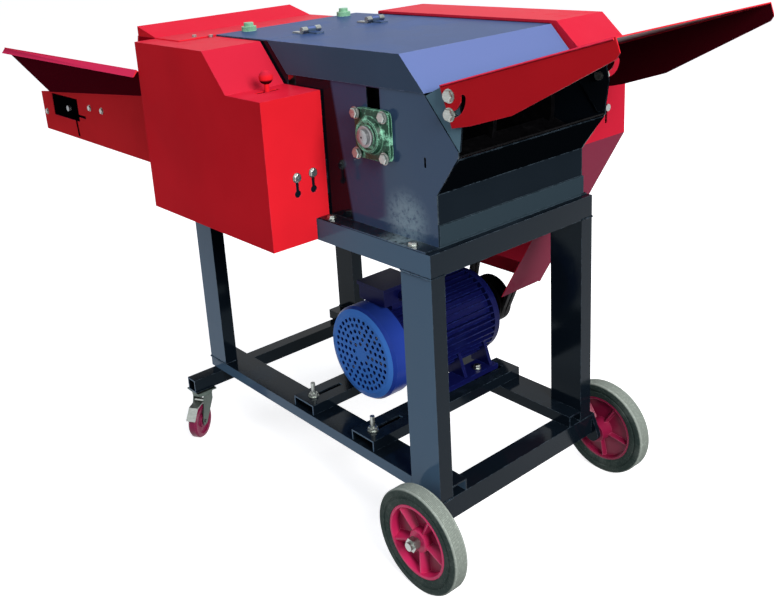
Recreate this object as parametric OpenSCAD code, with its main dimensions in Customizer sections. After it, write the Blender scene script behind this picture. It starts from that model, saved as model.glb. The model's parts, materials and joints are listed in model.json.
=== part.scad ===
// Motor-driven chaff cutter on a wheeled frame. Millimetres, +Z up, +X from feed to discharge.
// Lengths are laid out from the outer corner of the near feed-end leg, then moved to the middle.

/* [Frame] */
// Frame length, feed end to discharge end
frame_l = 992; // [900:1:1100]
// Frame width
frame_w = 547; // [500:1:600]
// Height of the frame's top face
frame_top = 787; // [740:1:840]
// Height of the top rails
ring_h = 55; // [40:1:70]
// Width of the top rails
ring_w = 50; // [48:1:60]
// Feed leg width along X
feed_leg_w = 84; // [60:1:100]
// Discharge leg width along X
disch_leg_w = 95; // [70:1:110]
// Leg depth along Y
leg_d = 40; // [30:1:50]
// Lower rail width
rail_w = 85; // [80:1:100]
// Lower rail height
rail_h = 30; // [20:1:40]
// Feed cross tube size
cross_tube = 40; // [30:1:50]
// How far the cross tube sticks out each side
cross_out = 97; // [80:1:120]
// Discharge beam size
beam = 55; // [40:1:60]
// Wall of the frame tubes and channels
tube_t = 4; // [3:0.5:6]

/* [Wheels] */
// Wheel diameter
wheel_d = 250; // [220:1:280]
// Wheel width
wheel_w = 40; // [30:1:50]
// Gap from the frame side to the wheel's inner face
wheel_out = 43; // [38:1:60]
// Radius where the tyre meets the hub
rim_r = 88; // [75:1:95]
// Axle diameter
axle_d = 20; // [16:1:24]
// Caster wheel radius
caster_r = 50; // [40:1:52]
// Caster wheel width
caster_w = 28; // [20:1:30]
// Caster trail
caster_trail = 34; // [30:1:36]

/* [Motor] */
// Motor axis X
motor_x = 580; // [560:1:600]
// Shaft height above the motor's feet
motor_h = 132; // [126:1:140]
// From the cowl face to the far side of the frame
motor_reach = 422; // [407:1:447]
// Motor shaft diameter
motor_shaft_d = 38; // [28:1:42]
// Motor pulley diameter
motor_pulley_d = 140; // [120:1:150]

/* [Housing] */
// Outer face of the near side plate
plate_y = 42; // [40:1:44]
// Sheet thickness of the housing
plate_t = 3; // [2.5:0.5:4]
// Gap from the housing's far side to the frame's far side
house_back = 19; // [15:1:25]
// Height of the housing's top face
house_top = 1196; // [1190:1:1204]
// Rotor axis X
rotor_x = 789; // [784:1:794]
// Rotor axis height
rotor_z = 1012; // [1008:1:1016]
// Radius swept by the blades
rotor_r = 165; // [160:1:166]
// Rotor shaft diameter
shaft_d = 35; // [30:1:40]
// Rotor pulley diameter
rotor_pulley_d = 280; // [240:1:290]

/* [Feed] */
// Feed roller X
roller_x = 490; // [486:1:496]
// Lower roller height
roller_z = 925; // [920:1:928]
// Feed roller radius over the ribs
roller_r = 58; // [52:1:60]
// Gear module
gear_m = 8; // [8:1:8]
// Teeth on each roller gear
gear_z = 17; // [17:2:17]
// Head roller X
head_x = 380; // [370:1:384]
// Conveyor roller radius
conv_r = 35; // [30:1:36]
// Tail roller X
tail_x = -812; // [-830:1:-800]
// Feed shaft diameter
feed_shaft_d = 24; // [20:1:28]

/* [Trough] */
// Trough length
trough_l = 1080; // [1040:1:1150]
// Width over the trough's sides
trough_w = 570; // [560:1:580]
// How far each wing flares out
wing_out = 150; // [120:1:170]
// Sheet thickness of trough, covers and guard
sheet = 2.5; // [2:0.5:3]

/* [Discharge hood] */
// Length of the hood's top sheet
hood_l = 427; // [400:1:440]
// Rest angle of the hood's top sheet
hood_tilt = 16.2; // [12:0.1:18]

/* [Clearances] */
// Running fit of a shaft in a bore, radial
fit = 0.05; // [0.02:0.01:0.1]
// Fit of pieces fixed to one another, radial
snug = 0.03; // [0.02:0.01:0.05]
// Space between pieces that pass one another
gap = 0.5; // [0.4:0.1:1]

/* [Hidden] */
$fn = 96;
STEEL = [0.24, 0.30, 0.36];
RED = [0.85, 0.12, 0.16];
BLUE = [0.14, 0.33, 0.66];
DARK = [0.12, 0.13, 0.14];
METAL = [0.66, 0.67, 0.68];
PINK = [0.80, 0.16, 0.35];
GREEN = [0.16, 0.30, 0.22];

wheel_r = wheel_d / 2;
axle_r = axle_d / 2;
axle_x = frame_l;
beam_out = 18;
beam_z = wheel_r + 2;
lug_t = 12;
lug_r = 20;
deck_z = beam_z + beam;
rail_top = deck_z + rail_h;
ring_z = frame_top - ring_h;
cross_x = 16;
cross_z = deck_z - cross_tube;
far_y = frame_w;
hub_y0 = -wheel_out - wheel_w;
boss_in = beam_out + gap;

mrail_w = 84;
mrail_h = 28;
mrail_x1 = motor_x - 152;
mrail_x2 = motor_x + 93;
mrail_y0 = 5;
mrail_y1 = frame_w - 5;
motor_z = rail_top + mrail_h + motor_h;
motor_y = frame_w - motor_reach;
cowl_l = 65;
body_l = 325;
bell_l = 40;
body_y0 = motor_y + cowl_l;
body_y1 = body_y0 + body_l;
bell_y1 = body_y1 + bell_l;
core_r = 108;
fin_r = 124;
cowl_r = 128;
foot_x = 108;
foot_y0 = body_y0 + 70;
foot_y1 = body_y1 - 17;
box_z = motor_z + cowl_r + 2;

plate_in = plate_y + plate_t;
far_out = frame_w - house_back;
house_w = far_out - plate_y;
far_in = far_out - plate_t;
mid_y = plate_y + house_w / 2;
house_x = 30;
top_t = 3;
top_z = house_top - top_t;
top_x = 160;
cover_x = 402;
ridge_x = 882;
chamfer_x = 951;
seam_z = 1118;
front_x = 976;
lip_x = 1042;
lip_z = 998;
knee_z = 905;
skirt_t = 2;
shell_r = rotor_r + 7;
shell_t = 3;
bolt_sq = 46;
flange_half = 58.5;
feed_belt_y = frame_w + 30;
belt_y = feed_belt_y + 34;
pulley_w = 46;
pulley_y0 = belt_y - pulley_w / 2;
groove_w = 14;
groove_deep = 10;
belt_pitch = 20;
belt_w = groove_w - 2 * gap;
feed_pulley_w = 14;
feed_pulley_d = 200;
small_pulley_d = 100;
feed_groove_w = 10;
feed_groove_deep = 7;

upper_z = roller_z + gear_m * gear_z;
roller_shaft_r = 15;
head_z = roller_z + roller_r - conv_r - 8;
tail_z = 891;
conv_shaft_r = 10;
tail_r = conv_r + 1;
belt_t = 4;
feed_x = head_x + 9;
feed_z = roller_z - 85;
gear_y0 = far_out + 12;
gear_w = 20;
arm_t = 8;
arm_y = plate_in + 4;
arm_far = far_in - 4 - arm_t;
pivot_x = roller_x - 140;
pivot_z = roller_z + gear_m * gear_z / 2;
tail_bar_x = 185;
tail_bar_z = 1100;
tail_bar_r = 10;
pivot_r = 8;
box_x0 = feed_x - 39;
box_x1 = roller_x + 50;
box_y0 = -70;
box_z0 = frame_top + 5;
box_z1 = roller_z + 50;
lever_x = 508;
lever_y = -45;
lever_z = box_z1 + 10;
knob_z = 1127;
screw_y1 = plate_y + 89;
screw_y2 = far_out - 68;

trough_x1 = house_x - 2;
trough_x0 = trough_x1 - trough_l;
trough_y0 = mid_y - trough_w / 2;
trough_y1 = mid_y + trough_w / 2;
bend_x0 = trough_x0 + 78;
bend_z0 = 935;
bend_z1 = 1021;
lip_z0 = 1113;
lip_z1 = 1118;

cover_y0 = -133;
cover_y1 = 37;
cover_x1 = 606;
cover_low = ring_z + 3;
cover_step = 1093;
cover_top = top_z;
guard_y0 = far_out + 8;
guard_low = frame_w + 2;
guard_y1 = belt_y + 104;
guard_x0 = 250;
guard_ridge = 893;
guard_x1 = 963;
guard_top = house_top + 7.5;
guard_brow = 1138.5;
guard_knee = 906;
guard_bot = 425;
guard_left = 430;
guard_right = 690;
guard_shelf = 735;
knob_y = belt_y + 28;
knob_z2 = 983;
cheek_t = 2.5;
cheek_y = plate_y - 6;
cheek_far = far_out + 6 - cheek_t;
piv_x = 1029;
piv_z = 1124;
lock_r = 38;
pin_r = 6;
hinge_z = house_top + 9;
hinge_x = cover_x - 2;
arc_n = 40;

hood_x = piv_x - 27;
hood_z = piv_z + 19;
tip_x = hood_x + hood_l * cos(hood_tilt);
tip_drop = 27.5;
tip_out = 1.4;
end_lean = 6;
span_x1 = tip_x + tip_out * cos(hood_tilt) + tip_drop * sin(hood_tilt);
shift_x = (trough_x0 - end_lean + span_x1) / 2;

// Shared shapes

// A block between two corners.
module block(a, b) {
    translate(a) cube(b - a);
}

// A flat shape in X and Z, thick along Y.
module slab(y0, y1) {
    translate([0, y1, 0]) rotate([90, 0, 0]) linear_extrude(y1 - y0) children();
}

// A round bar along Y.
module rod_y(x, z, y0, y1, r) {
    translate([x, y0, z]) rotate([-90, 0, 0]) cylinder(h = y1 - y0, r = r);
}

// A round bar along X.
module rod_x(y, z, x0, x1, r) {
    translate([x0, y, z]) rotate([0, 90, 0]) cylinder(h = x1 - x0, r = r);
}

// A round bar along Z.
module rod_z(x, y, z0, z1, r) {
    translate([x, y, z0]) cylinder(h = z1 - z0, r = r);
}

// A hexagon head along Y.
module hex_y(x, z, y0, y1, r) {
    translate([x, y0, z]) rotate([-90, 0, 0]) cylinder(h = y1 - y0, r = r, $fn = 6);
}

// Two circles joined by their outer tangents.
module link(p, rp, q, rq) {
    d = norm(q - p);
    a = acos((rp - rq) / d);
    phi = atan2(q[1] - p[1], q[0] - p[0]);
    u = [cos(phi + a), sin(phi + a)];
    v = [cos(phi - a), sin(phi - a)];
    translate(p) circle(r = rp);
    translate(q) circle(r = rq);
    polygon([p + rp * u, q + rq * u, q + rq * v, p + rp * v]);
}

// Points on an arc round c.
function arc(c, r, a0, a1) =
    [for (i = [0 : arc_n]) c + r * [cos(a0 + (a1 - a0) * i / arc_n), sin(a0 + (a1 - a0) * i / arc_n)]];

// The path round two wheels.
function run(p, rp, q, rq) =
    let (a = acos((rp - rq) / norm(q - p)), phi = atan2(q[1] - p[1], q[0] - p[0]))
    concat(arc(q, rq, phi - a, phi + a), arc(p, rp, phi + a, phi + 360 - a));

// A closed belt round two wheels.
module loop(p, rp, q, rq, t) {
    difference() {
        polygon(run(p, rp + t, q, rq + t));
        polygon(run(p, rp, q, rq));
    }
}

// A wedge of a ring from angle a0 to a1.
module ring_part(r0, r1, a0, a1) {
    far = 2 * r1;
    am = (a0 + a1) / 2;
    intersection() {
        difference() {
            circle(r = r1);
            circle(r = r0);
        }
        polygon([[0, 0], far * [cos(a0), sin(a0)], far * [cos((a0 + am) / 2), sin((a0 + am) / 2)],
            far * [cos(am), sin(am)], far * [cos((am + a1) / 2), sin((am + a1) / 2)],
            far * [cos(a1), sin(a1)]]);
    }
}

// A strip of sheet along a line, t thick on its left side.
module strip(p, q, t) {
    n = [p[1] - q[1], q[0] - p[0]] / norm(q - p) * t;
    polygon([p, q, q + n, p + n]);
}

// A square tube along Y.
module tube_y(x, z, w, h, y0, y1) {
    difference() {
        block([x, y0, z], [x + w, y1, z + h]);
        block([x + tube_t, y0 - 1, z + tube_t], [x + w - tube_t, y1 + 1, z + h - tube_t]);
    }
}

// A square tube along Z.
module leg(x, y, w, z0, z1) {
    difference() {
        block([x, y, z0], [x + w, y + leg_d, z1]);
        block([x + tube_t, y + tube_t, z0 - 1], [x + w - tube_t, y + leg_d - tube_t, z1 + 1]);
    }
}

// A pair mirrored about the frame's middle.
module both_sides() {
    children();
    translate([0, frame_w, 0]) mirror([0, 1, 0]) children();
}

// Frame

module feed_legs() {
    color(STEEL) both_sides() leg(0, 0, feed_leg_w, rail_top, ring_z);
}

module discharge_legs() {
    color(STEEL) both_sides() leg(frame_l - disch_leg_w, 0, disch_leg_w, deck_z, ring_z);
}

module top_frame() {
    color(STEEL) difference() {
        block([0, 0, ring_z], [frame_l, frame_w, frame_top]);
        block([ring_w, ring_w, ring_z - 1], [frame_l - ring_w, frame_w - ring_w, frame_top + 1]);
    }
}

module lower_rails() {
    color(STEEL) both_sides() difference() {
        block([0, 0, deck_z], [frame_l, rail_w, rail_top]);
        block([-1, tube_t, deck_z - 1], [frame_l + 1, rail_w - tube_t, rail_top - tube_t]);
        block([frame_l - disch_leg_w - gap, -1, deck_z - 1], [frame_l + 1, leg_d + gap, rail_top + 1]);
    }
}

module feed_cross_tube() {
    color(STEEL) tube_y(cross_x, cross_z, cross_tube, cross_tube, -cross_out, frame_w + cross_out);
}

// A cross tube with a lug for each stub axle.
module axle_beam() {
    color(STEEL) difference() {
        union() {
            tube_y(frame_l - beam, beam_z, beam, beam, -beam_out, frame_w + beam_out);
            both_sides() slab(-beam_out, lug_t - beam_out) {
                translate([axle_x, wheel_r]) circle(r = lug_r);
                polygon([[axle_x - beam + 1, beam_z + 1], [axle_x - 2, wheel_r - lug_r / 2],
                    [axle_x + lug_r - 1, wheel_r], [axle_x + lug_r - 1, beam_z + 6],
                    [axle_x - 1, beam_z + beam - 1], [axle_x - beam + 1, beam_z + beam - 1]]);
            }
        }
        both_sides() rod_y(axle_x, wheel_r, -beam_out - 1, lug_t - beam_out - 2, axle_r + snug);
    }
}

module motor_rail(x) {
    slot_r = 7;
    difference() {
        block([x, mrail_y0, rail_top], [x + mrail_w, mrail_y1, rail_top + mrail_h]);
        block([x + tube_t, mrail_y0 - 1, rail_top - 1],
            [x + mrail_w - tube_t, mrail_y1 + 1, rail_top + mrail_h - tube_t]);
        for (s = [20, 400]) {
            block([x + mrail_w / 2 - slot_r, mrail_y0 + s, rail_top],
                [x + mrail_w / 2 + slot_r, mrail_y0 + s + 110, rail_top + mrail_h + 1]);
        }
    }
}

module motor_rails() {
    color(STEEL) {
        motor_rail(mrail_x1);
        motor_rail(mrail_x2);
    }
}

module wheel_axles() {
    nut = 17;
    out = hub_y0 - gap;
    color(METAL) both_sides() {
        rod_y(axle_x, wheel_r, out - 22, lug_t - beam_out - 4, axle_r);
        hex_y(axle_x, wheel_r, out - 14, out, nut);
    }
}

// Wheels

module hub() {
    spokes = 5;
    rim_t = 7;
    boss_r = 30;
    spoke = 30;
    color(PINK) difference() {
        union() {
            difference() {
                rod_y(axle_x, wheel_r, hub_y0 + 2, -wheel_out - 2, rim_r - 0.2);
                rod_y(axle_x, wheel_r, hub_y0, -wheel_out, rim_r - rim_t);
            }
            rod_y(axle_x, wheel_r, hub_y0, -boss_in, boss_r);
            for (i = [0 : spokes - 1]) {
                translate([axle_x, hub_y0 + 8, wheel_r]) rotate([0, i * 360 / spokes + 18, 0])
                    translate([boss_r - 8, 0, -spoke / 2])
                        cube([rim_r - rim_t - boss_r + 10, 16, spoke]);
            }
        }
        rod_y(axle_x, wheel_r, hub_y0 - 1, 0, axle_r + fit);
    }
}

module tyre() {
    edge = 9;
    color(DARK) translate([axle_x, hub_y0 + wheel_w, wheel_r]) rotate([90, 0, 0]) rotate_extrude()
        polygon([[rim_r, 2], [rim_r + edge, 0], [wheel_r - 5, 0], [wheel_r - 1.5, 1.5], [wheel_r, 5],
            [wheel_r, wheel_w - 5], [wheel_r - 1.5, wheel_w - 1.5], [wheel_r - 5, wheel_w],
            [rim_r + edge, wheel_w], [rim_r, wheel_w - 2]]);
}

module far_side() {
    translate([0, frame_w, 0]) mirror([0, 1, 0]) children();
}

module hub_near() { hub(); }
module tyre_near() { tyre(); }
module hub_far() { far_side() hub(); }
module tyre_far() { far_side() tyre(); }

// Casters, laid out round the swivel axis

cast_x = cross_x + cross_tube / 2;
pad = 32;
cast_y = -cross_out + pad;
cast_turn = -58;
pad_t = 4;
pad_z = cross_z - pad_t;
king_r = 6;
disc_r = 30;
disc_t = 11;
disc_z = pad_z - 0.3 - disc_t;
cheek_in = caster_w / 2 + 2;
fork_t = 3;
pedal_x = 18;
pedal_z = disc_z - 17;
pedal_pin = 4;
caster_pin = 5;

module caster_plates() {
    color(METAL) both_sides() difference() {
        block([cast_x - pad, cast_y - pad, pad_z], [cast_x + pad, cast_y + pad, cross_z]);
        rod_z(cast_x, cast_y, pad_z - 1, cross_z + 1, king_r + fit);
    }
}

// Each caster stands turned about its swivel axis.
module caster_place() {
    translate([cast_x, cast_y, 0]) rotate([0, 0, cast_turn]) children();
}

module fork() {
    color(METAL) caster_place() {
        rod_z(0, 0, disc_z, disc_z + disc_t, disc_r);
        rod_z(0, 0, disc_z, cross_z - 1, king_r);
        for (y = [-cheek_in - fork_t, cheek_in]) {
            slab(y, y + fork_t) polygon([[-24, disc_z + 1], [24, disc_z + 1],
                [caster_trail + 13, caster_r + 6], [caster_trail + 9, caster_r - 11],
                [caster_trail - 9, caster_r - 11], [-24, disc_z - 30]]);
        }
        rod_y(caster_trail, caster_r, -cheek_in - fork_t - 3, cheek_in + fork_t + 3, caster_pin);
        rod_y(pedal_x, pedal_z, -cheek_in - fork_t, cheek_in + fork_t, pedal_pin);
    }
}

module caster_wheel() {
    color(PINK) caster_place() translate([caster_trail, 0, caster_r]) rotate([90, 0, 0])
        rotate_extrude() polygon([[caster_pin + fit, -caster_w / 2], [18, -caster_w / 2], [20, -8],
            [caster_r - 14, -8], [caster_r - 12, -caster_w / 2], [caster_r - 4, -caster_w / 2],
            [caster_r, -caster_w / 2 + 5], [caster_r, caster_w / 2 - 5], [caster_r - 4, caster_w / 2],
            [caster_r - 12, caster_w / 2], [caster_r - 14, 8], [20, 8], [18, caster_w / 2],
            [caster_pin + fit, caster_w / 2]]);
}

module pedal() {
    half = cheek_in - gap;
    tread = [[5, 2.5], [46, -2.5], [72, -33], [69.5, -34.5], [45, -5.6], [5, -0.5]];
    color(METAL) caster_place() difference() {
        union() {
            rod_y(pedal_x, pedal_z, -half, half, pedal_pin + 4);
            slab(1 - half, half - 1) translate([pedal_x, pedal_z]) polygon(tread);
        }
        rod_y(pedal_x, pedal_z, -half - 1, half + 1, pedal_pin + fit);
    }
}

module caster_fork_near() { fork(); }
module caster_fork_far() { far_side() fork(); }
module caster_wheel_near() { caster_wheel(); }
module caster_wheel_far() { far_side() caster_wheel(); }
module brake_pedal_near() { pedal(); }
module brake_pedal_far() { far_side() pedal(); }

// Motor

module motor_body() {
    fins = 40;
    foot_z = rail_top + mrail_h;
    color(BLUE) difference() {
        union() {
            rod_y(motor_x, motor_z, body_y0, body_y1, core_r);
            rod_y(motor_x, motor_z, body_y0, body_y0 + 8, fin_r);
            rod_y(motor_x, motor_z, body_y1 - 8, body_y1, fin_r);
            for (i = [0 : fins - 1]) {
                translate([motor_x, body_y0 + 4, motor_z]) rotate([0, (i + 0.5) * 360 / fins, 0])
                    translate([core_r - 4, 0, -1.5]) cube([fin_r - core_r + 4, body_l - 8, 3]);
            }
            for (s = [-1, 1]) {
                translate([motor_x + s * foot_x, 0, 0])
                    block([-30, foot_y0, foot_z], [30, foot_y1, foot_z + 14]);
                for (y = [foot_y0 + 14, (foot_y0 + foot_y1) / 2 - 5, foot_y1 - 24]) {
                    translate([motor_x, y, 0]) slab(0, 10) polygon([[s * 60, foot_z + 10],
                        [s * (foot_x + 24), foot_z + 10], [s * (foot_x - 8), motor_z - 30],
                        [s * 60, motor_z - 30]]);
                }
            }
            block([motor_x - 46, body_y0 + 12, motor_z + core_r - 20],
                [motor_x + 46, body_y0 + 92, box_z]);
        }
        rod_y(motor_x, motor_z, body_y0 - 1, body_y1 + 1, motor_shaft_d / 2 + 2);
    }
}

module motor_cowl() {
    wall = 2.5;
    rings = [[28, 8], [45, 14], [62, 20], [79, 26], [95, 32]];
    color(BLUE) difference() {
        translate([motor_x, body_y0, motor_z]) rotate([90, 0, 0]) rotate_extrude()
            polygon([[cowl_r, 0], [cowl_r, cowl_l - 13], [cowl_r - 6, cowl_l - 4], [cowl_r - 20, cowl_l],
                [0, cowl_l], [0, cowl_l - wall], [cowl_r - 21, cowl_l - wall], [cowl_r - 8, cowl_l - 6],
                [cowl_r - wall, cowl_l - 14], [cowl_r - wall, wall], [core_r, wall], [core_r, 0]]);
        for (k = rings) {
            for (i = [0 : k[1] - 1]) {
                translate([motor_x, 0, motor_z]) rotate([0, i * 360 / k[1], 0])
                    rod_y(k[0], 0, motor_y - 1, motor_y + wall + 1, 5.5);
            }
        }
    }
}

module motor_end_bell() {
    color(BLUE) translate([motor_x, body_y1, motor_z]) rotate([-90, 0, 0]) rotate_extrude()
        polygon([[motor_shaft_d / 2 + fit, 0], [fin_r - 3, 0], [fin_r - 3, 14], [fin_r - 18, 26],
            [60, 34], [52, bell_l], [motor_shaft_d / 2 + fit, bell_l]]);
}

module terminal_box() {
    color(BLUE) {
        block([motor_x - 50, body_y0 - 16, box_z], [motor_x + 50, body_y0 + 96, box_z + 42]);
        block([motor_x - 54, body_y0 - 20, box_z + 41], [motor_x + 54, body_y0 + 100, box_z + 50]);
        rod_x(body_y0 + 40, box_z + 20, motor_x + 49, motor_x + 70, 11);
    }
}

module motor_shaft() {
    blades = 6;
    fan_r = 98;
    color(METAL) {
        rod_y(motor_x, motor_z, motor_y + 14, pulley_y0 + pulley_w + 4, motor_shaft_d / 2);
        rod_y(motor_x, motor_z, motor_y + 14, motor_y + 50, 32);
        for (i = [0 : blades - 1]) {
            translate([motor_x, motor_y + 16, motor_z]) rotate([0, i * 360 / blades + 11, 0])
                translate([28, 0, -2]) cube([fan_r - 28, 30, 4]);
        }
    }
}

// A pulley for two belts.
module twin_pulley(x, z, r, bore) {
    difference() {
        rod_y(x, z, pulley_y0, pulley_y0 + pulley_w, r);
        for (s = [-1, 1]) {
            difference() {
                rod_y(x, z, belt_y + s * belt_pitch / 2 - groove_w / 2,
                    belt_y + s * belt_pitch / 2 + groove_w / 2, r + 1);
                rod_y(x, z, pulley_y0, pulley_y0 + pulley_w, r - groove_deep);
            }
        }
        rod_y(x, z, pulley_y0 - 1, pulley_y0 + pulley_w + 1, bore);
    }
}

module motor_pulley() {
    color(DARK) twin_pulley(motor_x, motor_z, motor_pulley_d / 2, motor_shaft_d / 2 + snug);
}

// Housing

house_side = [[house_x, frame_top], [front_x, frame_top], [front_x, knee_z], [lip_x, lip_z],
    [lip_x, lip_z + 12], [chamfer_x - 2, seam_z], [ridge_x - 2, top_z - gap - 1],
    [cover_x, top_z - gap - 1], [cover_x - gap, top_z], [top_x, top_z], [top_x - 30, top_z - 14],
    [house_x, top_z - 30]];
window_r = roller_shaft_r + 9;

module side_plate_near() {
    tab_x = cover_x1 - sheet - 6;
    color(STEEL) difference() {
        union() {
            slab(plate_y, plate_in) polygon(house_side);
            block([cover_x1 + 4, plate_y - 40, frame_top], [front_x, plate_y + 1, frame_top + 3]);
            block([tab_x, -75, 840], [tab_x + 6, plate_y + 1, 925]);
        }
        slab(plate_y - 1, plate_in + 1) {
            translate([rotor_x, rotor_z]) circle(r = shaft_d / 2 + 6);
            translate([rotor_x - 22, rotor_z]) square([44, seam_z - rotor_z - 2]);
            translate([roller_x - 19, upper_z]) square([34, seam_z - upper_z - 2]);
            translate([roller_x, roller_z]) circle(r = roller_shaft_r + 2);
            translate([head_x, head_z]) circle(r = conv_shaft_r + 2);
            translate([feed_x, feed_z]) circle(r = feed_shaft_d / 2 + 2);
            translate([pivot_x, pivot_z]) circle(r = pivot_r + snug);
            translate([front_x - 34, 961]) square([6, 22]);
        }
        rod_x(-50, 900, tab_x - 1, tab_x + 7, 4 + snug);
        rod_x(-3, 902, tab_x - 1, tab_x + 7, 4 + snug);
    }
}

module side_plate_far() {
    tab_x = guard_x1 - sheet - 1;
    color(STEEL) difference() {
        union() {
            slab(far_in, far_out) polygon(house_side);
            block([cover_x1 + 4, far_out - 1, frame_top], [front_x, far_out + 18, frame_top + 3]);
            block([tab_x - 80, far_out - 1, knob_z2 - 15], [tab_x - 20, guard_y0 + 2, knob_z2 + 15]);
            block([tab_x - 80, guard_y0 + 1, knob_z2 - 15], [tab_x, guard_y0 + 6, knob_z2 + 15]);
            block([tab_x - 4.5, guard_y0 + 1, knob_z2 - 15], [tab_x, knob_y + 14, knob_z2 + 15]);
        }
        slab(far_in - 1, far_out + 1) {
            translate([rotor_x, rotor_z]) circle(r = shaft_d / 2 + 6);
            translate([roller_x, roller_z]) circle(r = roller_shaft_r + fit);
            translate([roller_x - 3, upper_z + 6]) circle(r = window_r);
            translate([head_x, head_z]) circle(r = conv_shaft_r + fit);
            translate([feed_x, feed_z]) circle(r = feed_shaft_d / 2 + fit);
            translate([pivot_x, pivot_z]) circle(r = pivot_r + snug);
        }
        rod_x(knob_y, knob_z2, tab_x - 6, tab_x + 1, 4 + snug);
    }
}

skirt_out = plate_y - gap - skirt_t;
skirt_far = far_out + gap;

module rotor_cover() {
    color(STEEL) difference() {
        union() {
            slab(skirt_out, skirt_far + skirt_t) polygon([[cover_x, top_z], [cover_x, house_top],
                [ridge_x, house_top], [chamfer_x + 2, seam_z + 2], [chamfer_x - 1, seam_z],
                [ridge_x - 1.5, top_z]]);
            for (y = [skirt_out, skirt_far]) {
                slab(y, y + skirt_t) polygon([[cover_x + 1, top_z + 1], [ridge_x - 1, top_z + 1],
                    [chamfer_x, seam_z + 1.5], [cover_x + 72, seam_z]]);
            }
            for (y = [mid_y - 108, mid_y + 108]) {
                rod_y(hinge_x, hinge_z, y - 12, y + 12, 8);
                block([hinge_x + 3, y - 12, house_top - 1], [hinge_x + 40, y + 12, house_top + 4]);
                block([hinge_x + 4.5, y - 11, house_top + 1], [hinge_x + 7, y + 11, hinge_z]);
            }
        }
        rod_y(hinge_x, hinge_z, mid_y - 200, mid_y + 200, 4 + fit);
    }
}

module feed_top_plate() {
    color(STEEL) {
        difference() {
            block([top_x, plate_y, top_z], [cover_x - gap - 1, far_out, house_top]);
            rod_z(tail_bar_x, screw_y1, top_z - 1, house_top + 1, 6.5);
            rod_z(tail_bar_x, screw_y2, top_z - 1, house_top + 1, 6.5);
        }
    }
}

module drum_shell() {
    a0 = 197;
    a1 = 335;
    end = [rotor_x + shell_r * cos(a1), rotor_z + shell_r * sin(a1)];
    color(STEEL) slab(plate_in, far_in) {
        translate([rotor_x, rotor_z]) ring_part(shell_r, shell_r + shell_t, a0, a1 + 1);
        strip([lip_x - 2, lip_z + 2], end, shell_t);
        translate([rotor_x - 192, seam_z - 23]) square([3, 90]);
    }
}

module front_panel() {
    t = 3;
    color(STEEL) {
        slab(plate_in, far_in) {
            strip([lip_x - 2, lip_z - 7], [front_x - 2, knee_z], -t);
            translate([front_x - t, frame_top]) square([t, knee_z - frame_top + 1]);
        }
        block([front_x, plate_y, frame_top + 8], [front_x + 5, far_out, frame_top + 51]);
    }
}

ear = [[940, 1108], [1000, 1139], [1040, 1138], [1053, 1075], [1044, 1009], [1025, 1000]];

module mouth_flange() {
    t = 4;
    color(STEEL) {
        for (y = [plate_in, far_in - t]) {
            difference() {
                slab(y, y + t) polygon(ear);
                rod_y(piv_x, piv_z, y - 1, y + t + 1, pin_r + snug);
                rod_y(piv_x, piv_z - lock_r, y - 1, y + t + 1, pin_r + snug);
            }
        }
        slab(plate_in + t, far_in - t) strip([1000, 1139], [957, 1117], 3);
    }
}

module counter_knife() {
    knife_x = rotor_x - rotor_r + 1;
    color(METAL) {
        block([knife_x - 68, plate_in, 975], [knife_x - 2, far_in, 983]);
        block([knife_x - 60, plate_in, 945], [knife_x - 20, far_in, 975]);
    }
}

// Rotor

module rotor_shaft() {
    color(METAL) {
        rod_y(rotor_x, rotor_z, plate_y - 32, pulley_y0 + pulley_w + 6, shaft_d / 2);
    }
}

blade_n = 4;
blade_t = 10;
blade_in = 112;

// The blades' shape, grown by a clearance.
module blade_set(c, y0, y1) {
    for (i = [0 : blade_n - 1]) {
        translate([rotor_x, y0, rotor_z]) rotate([0, i * 360 / blade_n + 20, 0])
            translate([blade_in - c, 0, -blade_t / 2 - c])
                cube([rotor_r - blade_in + c, y1 - y0, blade_t + 2 * c]);
    }
}

module rotor_discs() {
    disc = 132;
    color(METAL) difference() {
        for (y = [plate_in + 30, mid_y - 6, far_in - 42]) {
            rod_y(rotor_x, rotor_z, y, y + 12, disc);
        }
        rod_y(rotor_x, rotor_z, plate_in, far_in, shaft_d / 2 + snug);
        blade_set(snug, plate_in + 1, far_in - 1);
    }
}

module rotor_blades() {
    color(METAL) blade_set(0, plate_in + 10, far_in - 10);
}

module rotor_pulley() {
    fw = feed_pulley_w / 2;
    color(DARK) difference() {
        union() {
            twin_pulley(rotor_x, rotor_z, rotor_pulley_d / 2, shaft_d / 2 + snug);
            rod_y(rotor_x, rotor_z, feed_belt_y - fw, pulley_y0 + 1, small_pulley_d / 2);
        }
        rod_y(rotor_x, rotor_z, feed_belt_y - fw - 1, pulley_y0 + 2, shaft_d / 2 + snug);
        difference() {
            rod_y(rotor_x, rotor_z, feed_belt_y - feed_groove_w / 2, feed_belt_y + feed_groove_w / 2,
                small_pulley_d / 2 + 1);
            rod_y(rotor_x, rotor_z, feed_belt_y - fw, feed_belt_y + fw,
                small_pulley_d / 2 - feed_groove_deep);
        }
    }
}

module main_bearing() {
    color(GREEN) difference() {
        union() {
            block([rotor_x - flange_half, plate_y - 14, rotor_z - flange_half],
                [rotor_x + flange_half, plate_y, rotor_z + flange_half]);
            rod_y(rotor_x, rotor_z, plate_y - 28, plate_y - 13, 40);
        }
        rod_y(rotor_x, rotor_z, plate_y - 29, plate_y + 1, shaft_d / 2 + fit);
    }
}

module main_bearings() {
    main_bearing();
    translate([0, 2 * mid_y, 0]) mirror([0, 1, 0]) main_bearing();
}

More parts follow.
